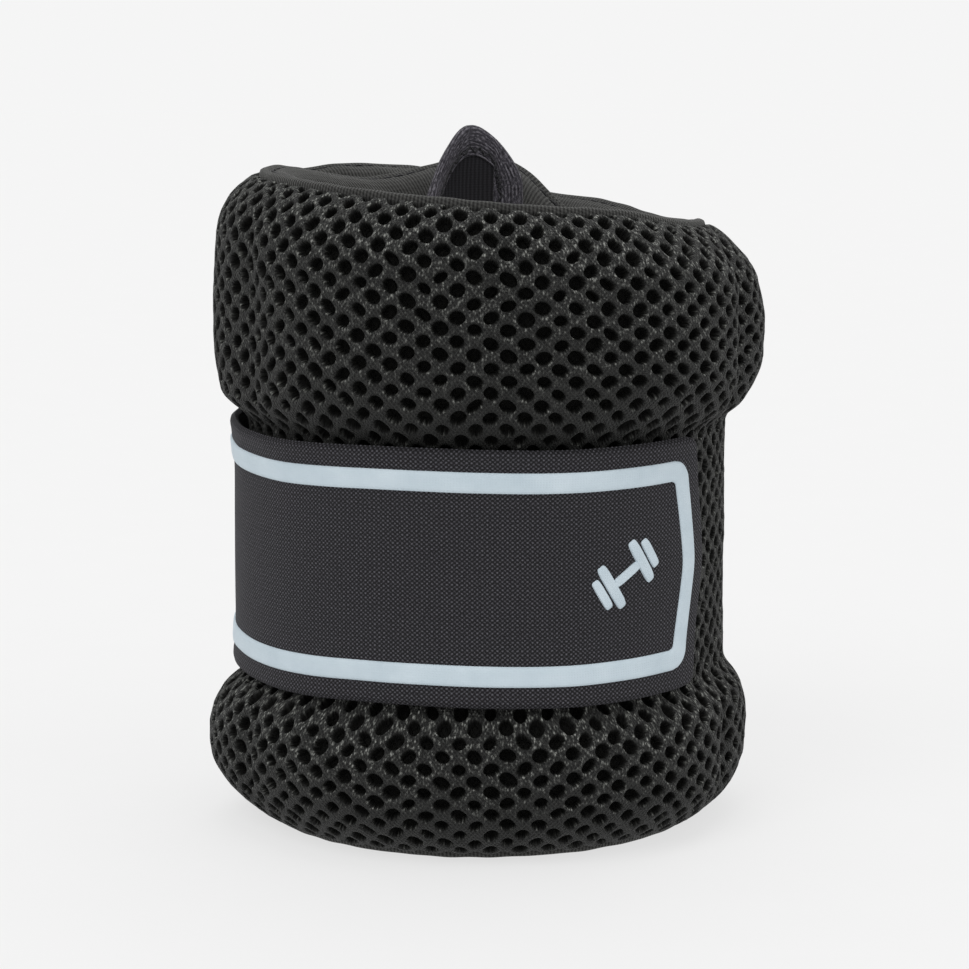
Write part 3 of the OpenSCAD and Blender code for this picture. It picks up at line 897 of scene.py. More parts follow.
def mesh_cover():
    """a knit with a hole in every cell of a staggered lattice"""
    rim = cell_rim()
    sides = len(rim)
    around = np.arctan2(rim[:, 1], rim[:, 0])
    per_row = int((LENGTH - 7.0) / CELL_PITCH)
    pitch = (LENGTH - 7.0) / per_row
    rim = rim * [pitch / CELL_PITCH, 1]
    cell_x, cell_arc = [], []
    for row in range(CELL_ROWS + 1):
        odd = row % 2
        count = per_row + 1 - odd
        cell_x.append(3.5 + (pitch / 2 if odd else 0) + pitch * np.arange(count))
        cell_arc.append(np.full(count, 2.5 + ROW_PITCH * row))
    cell_x, cell_arc = np.concatenate(cell_x)[:, None], np.concatenate(cell_arc)[:, None]
    cells = len(cell_x)

    jitter = np.random.default_rng(11).normal(0, 1, (cells, 6))
    size = 1 + 0.07 * jitter[:, 0:1]
    hole_x, hole_arc = 0.1 * jitter[:, 1:2], 0.09 * jitter[:, 2:3]
    tilt = 0.12 * jitter[:, 4:5]
    lip_x = hole_x + 1.43 * size * np.cos(around + tilt)
    lip_arc = hole_arc + 1.3 * size * (1 + 0.05 * jitter[:, 3:4]) * np.sin(around - tilt)

    # neighbouring cells share their ridge points
    edge_x, edge_arc = cell_x + rim[None, :, 0], cell_arc + rim[None, :, 1]
    key = np.round(np.stack([edge_x, edge_arc], -1).reshape(-1, 2), 2)
    _, first, shared = np.unique(key, axis=0, return_index=True, return_inverse=True)
    ridges = len(first)
    ridge_x, ridge_arc = edge_x.reshape(-1)[first], edge_arc.reshape(-1)[first]
    xs, arcs = [ridge_x], [ridge_arc]
    heights = [RIDGE_HEIGHT + 0.05 * waves(ridge_x, ridge_arc, 31, 3.2)]
    shades = [np.zeros(ridges)]
    for share, _, _ in SLOPE_RINGS:
        xs.append((edge_x + (cell_x + lip_x - edge_x) * share).ravel())
        arcs.append((edge_arc + (cell_arc + lip_arc - edge_arc) * share).ravel())
    for share, _, _ in HOLE_RINGS:
        xs.append((cell_x + hole_x + (lip_x - hole_x) * share).ravel())
        arcs.append((cell_arc + hole_arc + (lip_arc - hole_arc) * share).ravel())
    for _, height, shade in SLOPE_RINGS + HOLE_RINGS:
        heights.append(np.full(cells * sides, height))
        shades.append(np.full(cells * sides, shade))
    x = np.concatenate(xs + [(cell_x + hole_x)[:, 0]])
    arc = np.concatenate(arcs + [(cell_arc + hole_arc)[:, 0]])
    height = np.concatenate(heights + [HOLE_FLOOR + 0.1 * jitter[:, 5]])
    height = height - 0.65 * fall(np.minimum(arc, OUT_SPAN - arc), 0.9, 1.9)  # sinks at the rims

    outward = surface_normal(outer, x, arc)
    face = outer(x, arc)
    back = face[:ridges] - outward[:ridges] * KNIT_THICK
    points = np.concatenate([face + outward * height[:, None], back])
    uv = np.stack([x, arc], 1)
    uv = np.concatenate([uv, uv[:ridges]])
    deep = np.concatenate(shades + [np.ones(cells), np.ones(ridges)])

    ring_count = len(SLOPE_RINGS + HOLE_RINGS)
    ridge_ids = shared.reshape(cells, sides)
    lower_ids = ridges + np.arange(ring_count * cells * sides).reshape(ring_count, cells, sides)
    ids = [ridge_ids, *lower_ids]
    floor_ids = np.repeat(ridges + ring_count * cells * sides + np.arange(cells)[:, None], sides, 1)
    back_start = len(x)
    quads = np.stack([
        np.stack([low, np.roll(low, -1, 1), np.roll(high, -1, 1), high], -1).reshape(-1, 4)
        for high, low in zip(ids[:-1], ids[1:])
    ])
    triangles = np.stack([floor_ids, np.roll(ids[-1], -1, 1), ids[-1]], -1).reshape(-1, 3)
    normals = face_normals(points, [quads.reshape(-1, 4), triangles])
    normals[back_start:] = -outward[:ridges]

    cell_piece = np.searchsorted(PIECE_CUTS, cell_x[:, 0], side="right") + 1
    for piece in PIECES:
        mine = cell_piece == piece
        mask = np.repeat(mine, sides)
        ring = ridge_ids[mine]
        # side walls stand on ridge edges that only one cell of this piece uses
        edges = np.stack([ring, np.roll(ring, -1, 1)], -1).reshape(-1, 2)
        _, index, count = np.unique(np.sort(edges, 1), axis=0, return_inverse=True,
                                    return_counts=True)
        edges = edges[count[index.reshape(-1)] == 1]
        walls = np.concatenate([edges, edges[:, ::-1] + back_start], 1)
        face_sets = [quads[:, mask].reshape(-1, 4), triangles[mask], ring + back_start, walls]
        add_part(f"spacer_mesh_{piece}", points, face_sets, "mesh", BAND_MOTIONS[piece],
                 band_nodes("mesh_cover", piece), uv=uv, normals=normals, deep=deep)


mesh_cover()


# ---------------------------------------------------------------- the liner
# stitch rows along each rim: (distance from the liner's edge, bow of a stitch, base height)
RIM_ROWS = [(2.75, 0.28, 0.03), (14.6, 0.12, -0.10)]


def liner_surface(x, arc):
    """arc is negative on the outer side of the bottom rim and past IN_SPAN on that of the top"""
    low = outer(x, np.clip(-arc, 0, None))
    top = outer(x, OUT_SPAN - np.clip(arc - IN_SPAN, 0, None))
    middle = inner(x, np.clip(arc, 0, IN_SPAN))
    return np.where((arc < 0)[..., None], low, np.where((arc > IN_SPAN)[..., None], top, middle))


def liner():
    """wraps both rims and lines the inside of the band"""
    rim = np.concatenate([
        -LINER_LAP + np.array([0, 0.12, 0.3, 0.55, 0.85]),
        np.arange(-LINER_LAP + 1.15, 13.0, 0.26),
    ])
    arc = np.concatenate([rim, np.linspace(13.0, IN_SPAN - 13.0, 44), IN_SPAN - rim[::-1]])
    start, end = 0.4, LENGTH - 0.4
    stations = np.unique(np.concatenate([np.arange(start, end, 1.15), PIECE_CUTS, [end]]))
    x, arc = grid(stations, arc)
    face = liner_surface(x, arc)
    outward = -surface_normal(liner_surface, x, arc, step=0.35)
    edge = np.minimum(arc, IN_SPAN - arc) + LINER_LAP
    ribs = 0.025 * np.cos(2 * math.pi * edge / 1.3) * fall(edge, 12.0, 3.5) * rise(edge, 1.0, 0.8)
    bead = 0.4 * bell(edge, 1.15, 0.75) - 0.75 * fall(edge, 0, 0.55)
    puff = 0.4 * bell(edge, 6.6, 3.2)
    grooves = -0.45 * bell(edge, 2.75, 0.5) - 0.55 * bell(edge, 14.6, 0.75)
    pucker = 0.16 * waves(x, edge, 41, 7.0) * bell(edge, 3.5, 4.0)
    ripple = 0.12 * waves(x, arc, 43, 15) * rise(edge, 0, 6)
    height = 0.3 * fall(edge, 15, 4) + ribs + bead + puff + grooves + pucker + ripple
    slab = Slab(face + outward * height[..., None], face - outward * 1.5, x, arc)
    rows = np.searchsorted(stations, [stations[0], *PIECE_CUTS, stations[-1]])
    for piece in PIECES:
        span = (int(rows[piece - 1]), int(rows[piece]))
        add_slab(f"neoprene_liner_{piece}", slab, [span], "liner", BAND_MOTIONS[piece],
                 band_nodes("liner", piece))


def rim_stitches():
    """two rows of stitches along each rim of the liner"""
    cuts = [0.0, *PIECE_CUTS, LENGTH]
    part = np.linspace(-1, 1, 6)
    for piece in PIECES:
        start = cuts[piece - 1] + (6.0 if piece == 1 else 1.6)
        lines, across = [], []
        for top in (False, True):
            end_gap = 1.2 if piece < 7 else 11.0 if top else 6.5
            centres = np.arange(start, cuts[piece] - end_gap, 3.1)
            for distance, bow, base in RIM_ROWS:
                x = centres[:, None] + 1.15 * part
                arc = distance - LINER_LAP + 0.05 * waves(x, distance, 47, 5)
                if top:
                    arc = IN_SPAN - arc
                outward = -surface_normal(liner_surface, x, arc)
                lift = bow * np.cos(part * math.pi / 2) ** 0.7 + base
                lines.append(liner_surface(x, arc) + outward * lift[:, None])
                across.append(outward)
        tube = tubes(np.concatenate(lines), np.concatenate(across), radius=0.2)
        add_thread(f"rim_stitches_{piece}", tube, BAND_MOTIONS[piece])


liner()
rim_stitches()


# ---------------------------------------------------------------- bindings over the band's ends
BINDING_WIDTH = 6.0
BINDING_THIN = 0.55
BINDING_BODY = 0.9  # thickness of the legs


def corner_path(radius):
    """(distance from the end, height) round an upper corner, from the rim to the end"""
    arc = np.linspace(0, math.pi / 2, 16 if radius < 15 else 30)
    turn = np.stack([radius - radius * np.sin(arc), HEIGHT - radius + radius * np.cos(arc)], 1)
    return np.concatenate([[(radius + gap, HEIGHT) for gap in (5.0, 3.5, 2.0)], turn])


def end_binding(name, body, top_corner, low_corner, outer_end):
    """a tape folded over an end of the band, with a row of stitches down each face"""
    side = 1 if outer_end else -1
    line = np.linspace(HEIGHT - top_corner, low_corner, 76)[1:-1]
    path = np.concatenate([
        corner_path(top_corner),
        np.stack([0 * line, line], 1),
        corner_path(low_corner)[::-1] * [1, -1] + [0, HEIGHT],
    ])
    direction = unit(np.gradient(path, axis=0))
    inward_x, inward_z = -direction[:, 1:], direction[:, :1]
    leg = np.concatenate([[0, 0.15, 0.4, 0.8], np.linspace(1.3, BINDING_WIDTH, 12)])
    # across the tape: distance in from the edge, and turn round the nose
    reach = np.concatenate([BINDING_WIDTH - leg, np.zeros(9), leg])
    turn = np.concatenate([np.zeros(16), np.linspace(0, math.pi, 11)[1:-1], np.full(16, math.pi)])
    outside, inside = turn == 0, turn == math.pi
    rows, columns = len(path), len(reach)
    length = along(np.linalg.norm(np.diff(path, axis=0), axis=1))
    ends = np.minimum(length, length[-1] - length)[:, None]
    grow = 0.33 + 0.67 * rise(ends, 2.5, 14)  # the tape narrows into the rims
    calm = rise(ends, -0.5, 9)

    x = path[:, :1] + inward_x * reach * grow
    z = path[:, 1:] + inward_z * reach * grow
    if not outer_end:
        x = LENGTH - x
    clear_x = np.clip(x, 0.01, LENGTH - 0.01)
    z = z + settle(clear_x, z)
    # find the section height that place() brings to z
    flat_z = np.linspace(0, HEIGHT, 256)
    placed = place(clear_x[..., None], flat_z).reshape(-1, 256)
    section_z = np.array([np.interp(goal, row, flat_z) for goal, row in zip(z.ravel(), placed)])
    section_z = section_z.reshape(z.shape)
    out_face = outer(x, np.interp(section_z, OUT_Z, OUT_ARC))
    in_face = inner(x, np.interp(section_z, IN_Z, IN_ARC))
    out_radius = np.hypot(out_face[..., 0], out_face[..., 1])
    in_radius = np.hypot(in_face[..., 0], in_face[..., 1])
    middle, half = (out_radius + in_radius) / 2, (out_radius - in_radius) / 2

    edge = np.minimum(np.arange(columns), np.arange(columns)[::-1])
    lift = BINDING_THIN * (1 - 0.9 * (edge == 0) - 0.45 * (edge == 1))
    lift = lift + 0.16 * (edge > 1) * (edge < 5) + 0.08 * np.cos(2 * math.pi * reach / 1.25)
    lift = lift * (0.35 + 0.65 * calm)
    round_nose = middle + (half + BINDING_THIN) * np.cos(turn)
    radius = np.where(outside, out_radius + lift, np.where(inside, in_radius - lift, round_nose))
    deep_nose = middle + (radius - middle) * 0.55
    back_radius = np.where(outside, radius - BINDING_BODY,
                           np.where(inside, radius + BINDING_BODY, deep_nose))
    nose = (0.75 + 0.28 * np.clip(half, 0, 3)) * np.sin(turn) * (0.55 + 0.45 * calm)

    def surface(radii, out):
        return polar(radii, OUTER_END - turn_at(x - inward_x * out * side), z - inward_z * out)

    front = surface(radius, nose)
    across_length = along(np.abs(np.diff(reach)) + 0.3)
    slab = Slab(front, surface(back_radius, nose * 0.3), length[:, None], across_length[None],
                flip=not outer_end)
    add_slab(name, slab, [(0, rows - 1)], "liner", body)

    normals = slab.normals[:rows * columns].reshape(rows, columns, 3)
    bow = (0.14 * np.sin(np.linspace(0, math.pi, 6)))[:, None]
    lines, across = [], []
    for column in (4, columns - 5):
        for centre in np.interp(np.arange(4, length[-1] - 4, 2.9), length, np.arange(rows)):
            row = np.clip(centre + np.linspace(-0.62, 0.62, 6), 0, rows - 1.001)
            first = row.astype(int)
            part = (row - first)[:, None]
            points = front[first, column] * (1 - part) + front[first + 1, column] * part
            lines.append(points + normals[first, column] * bow)
            across.append(normals[first, column])
    add_thread(name + "_stitches", tubes(lines, np.array(across), radius=0.19), body)


end_binding("outer_end_binding", "segment_1", OUT_CORNER, OUT_CORNER, outer_end=True)
end_binding("inner_end_binding", "segment_8", IN_TOP_CORNER, IN_LOW_CORNER, outer_end=False)


# ---------------------------------------------------------------- the strap's shape
def web_radius(turn):
    return 48.9 - 0.8 * rise(turn, 10, 50)


strap_y, strap_turn = arc_lookup(-40, 220, 0.25, lambda turn: web_radius(turn) + WEB_THICK)
TIP_Y = float(strap_y(TIP_TURN))
CUTS_Y = [float(strap_y(turn)) for turn in STRAP_CUTS]


def strap(y, up, height=0.0):
    """y along the strap, up from its lower edge, height above the webbing's inner face"""
    turn = strap_turn(y)
    live = rise(turn, -2, 20)
    away = np.abs(up - STRAP_WIDTH / 2) / (STRAP_WIDTH / 2)
    curl = 0.5 * rise(away, 0.55, 0.45) + 0.28 * waves(y, up * 0.6, 61, 38)
    curl = curl + 0.12 * waves(y, up, 63, 14) * rise(away, 0.2, 0.6)
    radius = web_radius(turn) + 0.25 * live + live * curl + height
    z = STRAP_Z - STRAP_WIDTH / 2 + up + live * 0.45 * waves(y, 0, 65, 70)
    return polar(radius, OUTER_END + turn, z)


def tip_y(up, inset=0.0, corner=3.0):
    """where the strap, drawn in by inset, ends at a height"""
    slope = TIP_RUN / (STRAP_WIDTH / 2)
    y = TIP_Y + TIP_RUN - slope * np.sqrt((up - STRAP_WIDTH / 2) ** 2 + 6.0)
    return (y - inset * math.sqrt(1 + slope * slope)
            - corner_drop(np.minimum(up, STRAP_WIDTH - up) - inset, corner))


def strap_section(start, end):
    turn = np.linspace(start, end, 7)
    return np.concatenate([
        polar(web_radius(turn) + offset, OUTER_END + turn, STRAP_Z) for offset in (-2.0, 3.6)
    ])


def strap_motion(first, second, before, after):
    return (first, second, *bend_zone(strap_section(*before), strap_section(*after)))


# name, motion (with the turns that stay before and after the bend), webbing and border nodes
STRAP_PARTS = [
    ("strap_base", strap_motion("segment_1", "strap_1", (-18, 1), (19, 26)),
     ["strap_anchor"], ["border_anchor"]),
    ("strap_run_1", strap_motion("strap_1", "strap_2", (22, 29), (51, 58)),
     ["strap_web_1"], ["border_1"]),
    ("strap_run_2", strap_motion("strap_2", "strap_3", (54, 61), (83, 90)),
     ["strap_web_2"], ["border_2"]),
    ("strap_run_3", strap_motion("strap_3", "strap_4", (86, 93), (115, 122)),
     ["strap_web_3"], ["border_3"]),
    ("strap_tab", strap_motion("strap_4", "strap_end", (120, 134.2), (142, 145)),
     ["strap_web_4", "strap_tip"], ["border_4", "border_tip"]),
]


# ---------------------------------------------------------------- the strap's parts
def webbing():
    runs = np.unique(np.concatenate([np.arange(CUTS_Y[0], CUTS_Y[4], 0.8), CUTS_Y]))
    # columns crowd slightly towards both edges
    crowded = 0.5 - 0.5 * np.cos(np.linspace(0, math.pi, 61))
    column_up = STRAP_WIDTH * crowded * 0.25 + STRAP_WIDTH * np.linspace(0, 1, 61) * 0.75
    tab = np.linspace(0, 1, 78)[1:, None]
    y = np.concatenate([
        np.repeat(runs[:, None], 61, 1),
        CUTS_Y[4] + (tip_y(column_up) - CUTS_Y[4]) * (1 - (1 - tab) ** 1.35),
    ])
    up = np.broadcast_to(column_up, y.shape)
    near_edge = np.minimum(up, STRAP_WIDTH - up)
    in_tab = np.arange(len(y))[:, None] >= len(runs) - 1
    near_tip = np.where(in_tab, np.clip(tip_y(up) - y, 0, 4), 4)
    near_start = np.clip(y - CUTS_Y[0], 0, 4)
    near = np.minimum(np.minimum(near_edge, near_tip), near_start)
    rounding = edge_round(near, width=0.9, depth=0.8)
    selvedge = 0.16 * bell(near_edge, 1.5, 0.7)
    front = strap(y, up, WEB_THICK - rounding + selvedge)
    slab = Slab(front, strap(y, up, rounding), y, up, flip=True)
    rows = [int(np.searchsorted(runs, cut)) for cut in CUTS_Y] + [len(y) - 1]
    for i, (name, motion, nodes, _) in enumerate(STRAP_PARTS):
        add_slab(name, slab, [(rows[i], rows[i + 1])], "webbing", motion, nodes)


def border():
    """a printed line inside both edges and round the tip"""
    inset, width = 4.3, 4.0
    insets = inset + np.array([0, 0.06, 0.2, 0.35, 0.5, 0.65, 0.8, 0.94, 1.0]) * width
    cuts = [float(strap_y(-1.8)), *CUTS_Y[1:]]
    runs = np.unique(np.concatenate([np.arange(cuts[0], cuts[4], 0.8), cuts]))
    paths_y, paths_up = [], []
    for value in insets:
        up = np.linspace(value, STRAP_WIDTH / 2, 60)
        tip = tip_y(up, value, corner=3.6 - 2.6 * (value - inset) / width)
        low = np.linspace(cuts[4], tip[0], 50)[:-1]
        paths_y.append(np.concatenate([runs, low[1:], tip]))
        paths_up.append(np.concatenate([np.full(len(runs) + 48, value), up]))
    half_y, half_up = np.array(paths_y).T, np.array(paths_up).T
    # the upper half mirrors the lower one
    y = np.concatenate([half_y, half_y[-2::-1]])
    up = np.concatenate([half_up, STRAP_WIDTH - half_up[-2::-1]])
    fall_off = np.array([1.0, 0.25, 0, 0, 0, 0, 0, 0.25, 1.0]) * PRINT_THICK
    front = strap(y, up, PRINT_BASE + PRINT_THICK - fall_off)
    slab = Slab(front, strap(y, up, PRINT_BASE - 0.25), y, up, flip=True)
    last = len(y) - 1
    rows = [int(np.searchsorted(runs, cut)) for cut in cuts]
    for i, (name, motion, _, nodes) in enumerate(STRAP_PARTS[:4]):
        start, end = rows[i], rows[i + 1]
        add_slab(name + "_line_low", slab, [(start, end)], "print", motion, nodes)
        add_slab(name + "_line_high", slab, [(last - end, last - start)], "print", motion)
    name, motion, _, nodes = STRAP_PARTS[4]
    add_slab(name + "_line", slab, [(rows[4], last - rows[4])], "print", motion, nodes)


def dumbbell_block(centre, length, height):
    """a rounded rectangle on the mark's tilted axis"""
    tilt = math.radians(32)
    u, v = grid(*(np.sin(np.linspace(-1, 1, count) * math.pi / 2) for count in (22, 17)))
    power = 5.0  # squareness of the superellipse
    big = np.maximum(np.abs(u), np.abs(v))
    pull = big / (np.abs(u) ** power + np.abs(v) ** power) ** (1 / power)
    x, z = centre + u * pull * length / 2, v * pull * height / 2
    y = float(strap_y(149.0)) + x * math.cos(tilt) - z * math.sin(tilt)
    up = STRAP_WIDTH / 2 + x * math.sin(tilt) + z * math.cos(tilt)
    front = strap(y, up, PRINT_BASE + PRINT_THICK * rise(1 - big, 0, 0.12))
    return Slab(front, strap(y, up, 1.4), y, up, flip=True)


def dumbbell():
    """a tilted dumbbell pictogram: a bar with two plates at each end"""
    blocks = [dumbbell_block(0, length=7.0, height=1.9)]
    for side in (-1, 1):
        blocks.append(dumbbell_block(side * 4.1, length=2.3, height=9.8))
        blocks.append(dumbbell_block(side * 6.6, length=1.9, height=6.6))
    points, face_sets = join([(slab.points, [slab.faces(0, slab.rows - 1)]) for slab in blocks])
    add_part("dumbbell_mark", points, face_sets, "print", "strap_end", ["dumbbell_print"],
             uv=np.concatenate([slab.uv for slab in blocks]),
             normals=np.concatenate([slab.normals for slab in blocks]))


def fold():
    """the strap's end folded back on itself and sewn down"""
    y = np.concatenate([[0, 0.12, 0.35, 0.7], np.linspace(1.1, 13.2, 24),
                        [13.55, 13.85, 14.05, 14.12]]) + float(strap_y(-18.4))
    up = np.concatenate([[0, 0.12, 0.35, 0.7], np.linspace(1.2, STRAP_WIDTH - 1.2, 58),
                         STRAP_WIDTH - np.array([0.7, 0.35, 0.12, 0])])
    y, up = grid(y, up)
    near = np.minimum(np.minimum(y - y[0], y[-1] - y), np.minimum(up, STRAP_WIDTH - up))
    rows = [float(strap_y(-16.0)), float(strap_y(-4.5))]
    pull = sum(0.35 * bell(y, row, 0.8) for row in rows)
    puff = 0.35 * bell(y, sum(rows) / 2, 3.5) * (0.7 + 0.3 * waves(y, up, 71, 12))
    front = strap(y, up, 2 * WEB_THICK - edge_round(near, width=0.8, depth=0.75) - pull + puff)
    slab = Slab(front, strap(y, up, 1.62), y, up, flip=True)
    add_slab("strap_fold_sewn", slab, [(0, len(y) - 1)], "fold", "segment_1", ["strap_fold"])

    part = np.linspace(-1, 1, 6)
    lines = np.array([
        strap(row + 0.1 * np.sin(centre * 3), centre + part, 2.9 + 0.32 * np.cos(part * math.pi / 2))
        for row in rows for centre in np.arange(2.4, STRAP_WIDTH - 2, 2.6)
    ])
    points, face_sets = tubes(lines, unit(lines * [1, 1, 0]), radius=0.26,
                              taper=(0.6, 1, 1, 1, 1, 0.6))
    uv = np.stack([points[:, 0] + points[:, 1], points[:, 2]], 1)
    add_part("strap_fold_stitches", points, face_sets, "thread", "segment_1",
             ["strap_stitching"], uv=uv)


def hook_tape(name, start_turn, end_turn, node, motion):
    """tape on the strap's inner face, with its small plastic hooks"""
    start, end = float(strap_y(start_turn)), float(strap_y(end_turn))
    margin = 4
    y, up = grid(
        np.concatenate([[start, start + 0.15], np.arange(start + 0.5, end - 0.4, 0.9),
                        [end - 0.15, end]]),
        np.concatenate([[4, 4.15], np.linspace(4.5, STRAP_WIDTH - 4.5, 40),
                        [STRAP_WIDTH - 4.15, STRAP_WIDTH - 4]]),
    )
    near = np.minimum(np.minimum(y - start, end - y),
                      np.minimum(up - margin, STRAP_WIDTH - margin - up))
    front = strap(y, up, -0.42 + 0.25 * fall(near, 0, 0.3))
    slab = Slab(front, strap(y, up, 0.05), y, up)

    hook_y, hook_up = grid(np.arange(start + 1.0, end - 0.8, 1.55),
                           np.arange(5.2, STRAP_WIDTH - 5.0, 1.6))
    hook_up = hook_up + (np.arange(len(hook_y)) % 2)[:, None] * 0.8  # every other row is shifted
    inside = hook_up < STRAP_WIDTH - 4.8
    hook_y, hook_up = hook_y[inside][:, None], hook_up[inside][:, None]
    side = np.where(np.round(hook_up / 1.6).astype(int) % 2 == 0, 1.0, -1.0)
    stand = np.array([0, 0.35, 0.62, 0.8, 0.74])
    bend = np.array([0, 0.02, 0.14, 0.4, 0.62])
    lines = strap(hook_y + side * bend * 0.9, hook_up, -0.36 - stand * 0.72)
    hooks = tubes(lines, np.array([0, 0, 1.0]), radius=0.15, taper=(1.25, 1, 0.95, 0.85, 0.45),
                  sides=5)
    points, face_sets = join([(slab.points, [slab.faces(0, slab.rows - 1)]), hooks])
    uv = np.concatenate([slab.uv, hooks[0][:, [0, 2]]])
    add_part(name, points, face_sets, "hook", motion, [node], uv=uv)


webbing()
border()
dumbbell()
fold()
hook_tape("hook_tape_inner", 105.5, 119.8, "hook_tape_4", STRAP_PARTS[3][1])
hook_tape("hook_tape_tab", 120.0, 168.0, "hook_tape_tip", STRAP_PARTS[4][1])


# ---------------------------------------------------------------- the tongue's shape
def tongue_radius(turn):
    return np.where(INNER_END - turn >= CURL_FROM, TONGUE_RADIUS, CURL_RADIUS)


def tongue_xy(turn, offset):
    """the tighter part is centred off the axis so that both parts meet"""
    angle = np.radians(INNER_END - turn)
    radius = tongue_radius(turn)
    shift = TONGUE_RADIUS - radius
    meet = math.radians(CURL_FROM)
    x = shift * math.cos(meet) + (radius + offset) * np.cos(angle)
    y = shift * math.sin(meet) + (radius + offset) * np.sin(angle)
    return x, y


tongue_x, tongue_turn = arc_lookup(-30, 330, 0.5, lambda turn: tongue_radius(turn) + TONGUE_MID)
TONGUE_CUTS_X = [float(tongue_x(turn)) for turn in TONGUE_CUTS]
TONGUE_LENGTH = TONGUE_CUTS_X[-1]


def tongue_heights(length):
    """heights of the tongue's lower and upper edges"""
    turn = tongue_turn(length)
    x, y = tongue_xy(turn, TONGUE_MID)
    low = 30.5 + 0.55 * (-x + y) / math.sqrt(2)
    high = 92 + 26 * rise(turn, -4, 66) + 21.5 * rise(turn, 206, 60) - 7.0 * rise(turn, 268, 40)
    return low, high


def tongue(length, z, offset):
    turn = tongue_turn(length)
    sway = 0.3 * waves(length, z, 81, 30) + 0.25 * rise(turn, 110, 40) * waves(length, z, 83, 16)
    x, y = tongue_xy(turn, offset + rise(turn, 6, 25) * sway)
    return np.stack(np.broadcast_arrays(x, y, z), -1)


def tongue_section(start, end):
    turn = np.linspace(start, end, 7)
    return np.concatenate([
        np.stack([*tongue_xy(turn, offset), np.full(7, 80.0)], 1) for offset in (-3.4, 1.5)
    ])


def tongue_zone(before, after):
    return bend_zone(tongue_section(*before), tongue_section(*after))


def curl_zone():
    """the last piece's far end curls back, so its zone is short and local"""
    ends = [tongue_xy(np.array(turn), TONGUE_MID) for turn in (176.0, 236.0)]
    return [(float(x) * MM, float(y) * MM, 0.08) for x, y in ends]


TONGUE_MOTIONS = [
    ("segment_8", "tongue_1", *tongue_zone((-8, -2), (21, 27))),
    ("tongue_1", "tongue_2", *tongue_zone((23, 31), (83, 91))),
    ("tongue_2", "tongue_3", *tongue_zone((87, 97), (161, 171))),
    ("tongue_3", "tongue_4", *curl_zone()),
]


# ---------------------------------------------------------------- the tongue's parts
def tongue_panel():
    inset = 0.6  # the sheet ends inside its binding
    end = TONGUE_LENGTH - inset
    cuts = [*TONGUE_CUTS_X[:4], end]
    stations = np.unique(np.concatenate([np.arange(cuts[0], end, 0.9), cuts]))
    shares = np.concatenate([[0, 0.004, 0.012], np.linspace(0.02, 0.98, 74), [0.988, 0.996, 1.0]])
    length, share = grid(stations, shares)
    low, high = tongue_heights(length)
    draw_in = 0.8 + corner_drop(end - length, 6.0)
    low, high = low + draw_in, high - draw_in
    z = low + (high - low) * share
    slab = Slab(tongue(length, z, -0.45), tongue(length, z, -1.55), length, z)
    rows = [int(np.searchsorted(stations, cut)) for cut in cuts]
    for i, motion in enumerate(TONGUE_MOTIONS):
        add_slab(f"tongue_sheet_{i + 1}", slab, [(rows[i], rows[i + 1])], "tongue", motion,
                 [f"tongue_panel_{i + 1}"])


def hem_path(stations, corner):
    """(length, height) and inward directions along the top, round the free end and back"""
    turn = np.linspace(0, math.pi / 2, 14)
    sine = np.concatenate([0 * stations, np.sin(turn)])
    cosine = np.concatenate([0 * stations + 1, np.cos(turn)])
    length = np.concatenate([stations, TONGUE_LENGTH - corner + corner * np.sin(turn)])
    low, high = tongue_heights(length)
    end_low, end_high = tongue_heights(TONGUE_LENGTH)
    end_z = np.linspace(end_high - corner, end_low + corner, 90)[1:-1]
    draw_in = corner - corner * cosine
    path = np.stack([
        np.concatenate([length, np.full(88, TONGUE_LENGTH), length[::-1]]),
        np.concatenate([high - draw_in, end_z, (low + draw_in)[::-1]]),
    ], 1)
    inward = np.stack([
        np.concatenate([-sine, -np.ones(88), -sine[::-1]]),
        np.concatenate([-cosine, np.zeros(88), cosine[::-1]]),
    ], 1)
    return path, inward


